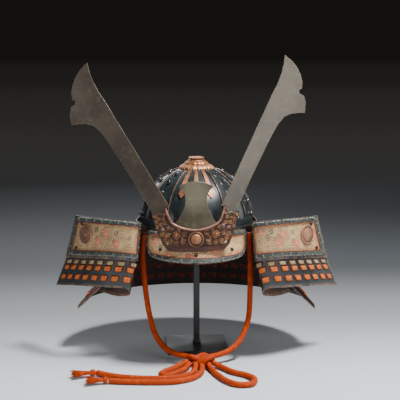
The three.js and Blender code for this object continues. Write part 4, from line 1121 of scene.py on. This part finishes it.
def make_rings():
    for side, name in ((-1, "left"), (1, "right")):
        x, y, z = eye_place
        spot = lambda t: Vector((side * x + eye_radius * cos(t), y, z + eye_radius * sin(t)))
        shape = Shape()
        tube(shape, looped(40, spot), eye_bar, 12, True)
        piece(f"cord_eye_{name}", shape, [boss_copper], "copper", [f"cord_ring_{name}"])


make_bowl()
make_ridges()
make_bowl_rivets()
make_finial()
make_lame("guard_lame_1", first_surface, 0.995, 300, "lame_1", turn_share - 0.02)
make_lame("guard_lame_2", second_surface, 0.995, 300, "lame_2", turn_share - 0.02)
make_lame("guard_lame_3", third_surface, third_end, 120, "lame_3", third_end * 0.88)
make_lacing()
make_visor()
make_wing("left")
make_wing("right")
make_horn_base()
make_horn_base_fittings()
make_rings()
refined("waist_band", "bowl_band", lame_outer, lame_rim, "lame", 0.3)
for which in ("left", "middle", "right"):
    refined(f"strip_{which}", f"gilt_strip_{which}", strip_gilt, ridge_copper, "gilt", 0.3)
refined("haraidate", "centre_plate", pewter, horn_edge_painted_highlight, "pewter", 0.4)
for side, finish in (("left", shaded_horn_metal_left), ("right", lit_horn_metal_right)):
    refined(f"horn_{side}", f"horn_blade_{side}", finish, horn_edge_painted_highlight, "horn", 0.4)
for part in ("base", "post", "head"):
    refined(f"stand_{part}", f"plain_stand_{part}", stand_black, stand_black, "stand", 0.8)


# Floor and light.
def make_floor():
    reach = 80
    corners = [(-reach, -reach, 0), (reach, -reach, 0), (reach, reach, 0), (-reach, reach, 0)]
    mesh = bpy.data.meshes.new("floor")
    mesh.from_pydata(corners, [], [(0, 1, 2, 3)])
    finish = Finish("pale_floor_painted_falloff_glow", Roughness=0.6, Specular_IOR_Level=0.1, Emission_Strength=1.0)
    away = finish.put("SeparateXYZ", {0: finish.place}).outputs[1]
    # Columns: metres behind the helmet where a tone begins and where it is full, its grey. The floor
    # darkens away from the helmet as painted shade, in place of the lamps' light falling off.
    lit = (204, 211, 218)
    for near, far, grey in ((-0.3, 0.3, 138), (0.2, 0.8, 82), (0.7, 2.0, 56), (1.8, 3.6, 4)):
        lit = finish.mixed(finish.ramp(away, near, far), lit, (grey - 4, grey, grey + 4))
    finish.set("Base Color", lit)
    # The far floor glows with painted light in place of the backdrop's tone; it is no lamp.
    glow = (0, 0, 0)
    for near, far, grey in ((0.9, 3.4, 50), (3.4, 8, 43), (8, 19, 33), (19, 70, 24)):
        glow = finish.mixed(finish.ramp(away, near, far), glow, (grey, grey - 1, grey - 2))
    finish.set("Emission Color", glow)
    mesh.materials.append(finish.material)
    floor = bpy.data.objects.new("floor", mesh)
    link(floor)
    floor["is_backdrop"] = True


def make_lamp(name, place, size, power, colour):
    data = bpy.data.lights.new(name, "AREA")
    data.shape = "RECTANGLE"
    data.size, data.size_y = size
    data.energy = power
    data.color = colour
    lamp = bpy.data.objects.new(name, data)
    lamp.location = place
    lamp.rotation_euler = (Vector((0, 0, 0.25)) - Vector(place)).to_track_quat("-Z", "Y").to_euler()
    link(lamp)


make_floor()
make_lamp("overhead", (0.75, -0.35, 2.1), (0.45, 0.45), 105, (1.0, 0.98, 0.95))
make_lamp("key", (1.2, -2.0, 1.0), (1.0, 1.2), 20, (1.0, 0.97, 0.92))
make_lamp("fill", (-1.7, -1.7, 0.8), (1.2, 1.2), 13, (0.95, 0.97, 1.0))
make_lamp("side", (1.9, 0.5, 0.9), (1.0, 1.4), 8, (1.0, 1.0, 1.0))
make_lamp("back", (-0.6, 2.2, 1.0), (1.4, 1.0), 12, (0.96, 0.98, 1.0))
world = bpy.data.worlds.new("world")
world.use_nodes = True
world.node_tree.nodes["Background"].inputs[0].default_value = linear((24, 23, 22))
bpy.context.scene.world = world

new_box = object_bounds()
[[[float(x) for x in corner] for corner in box] for box in (cad_box, new_box)]
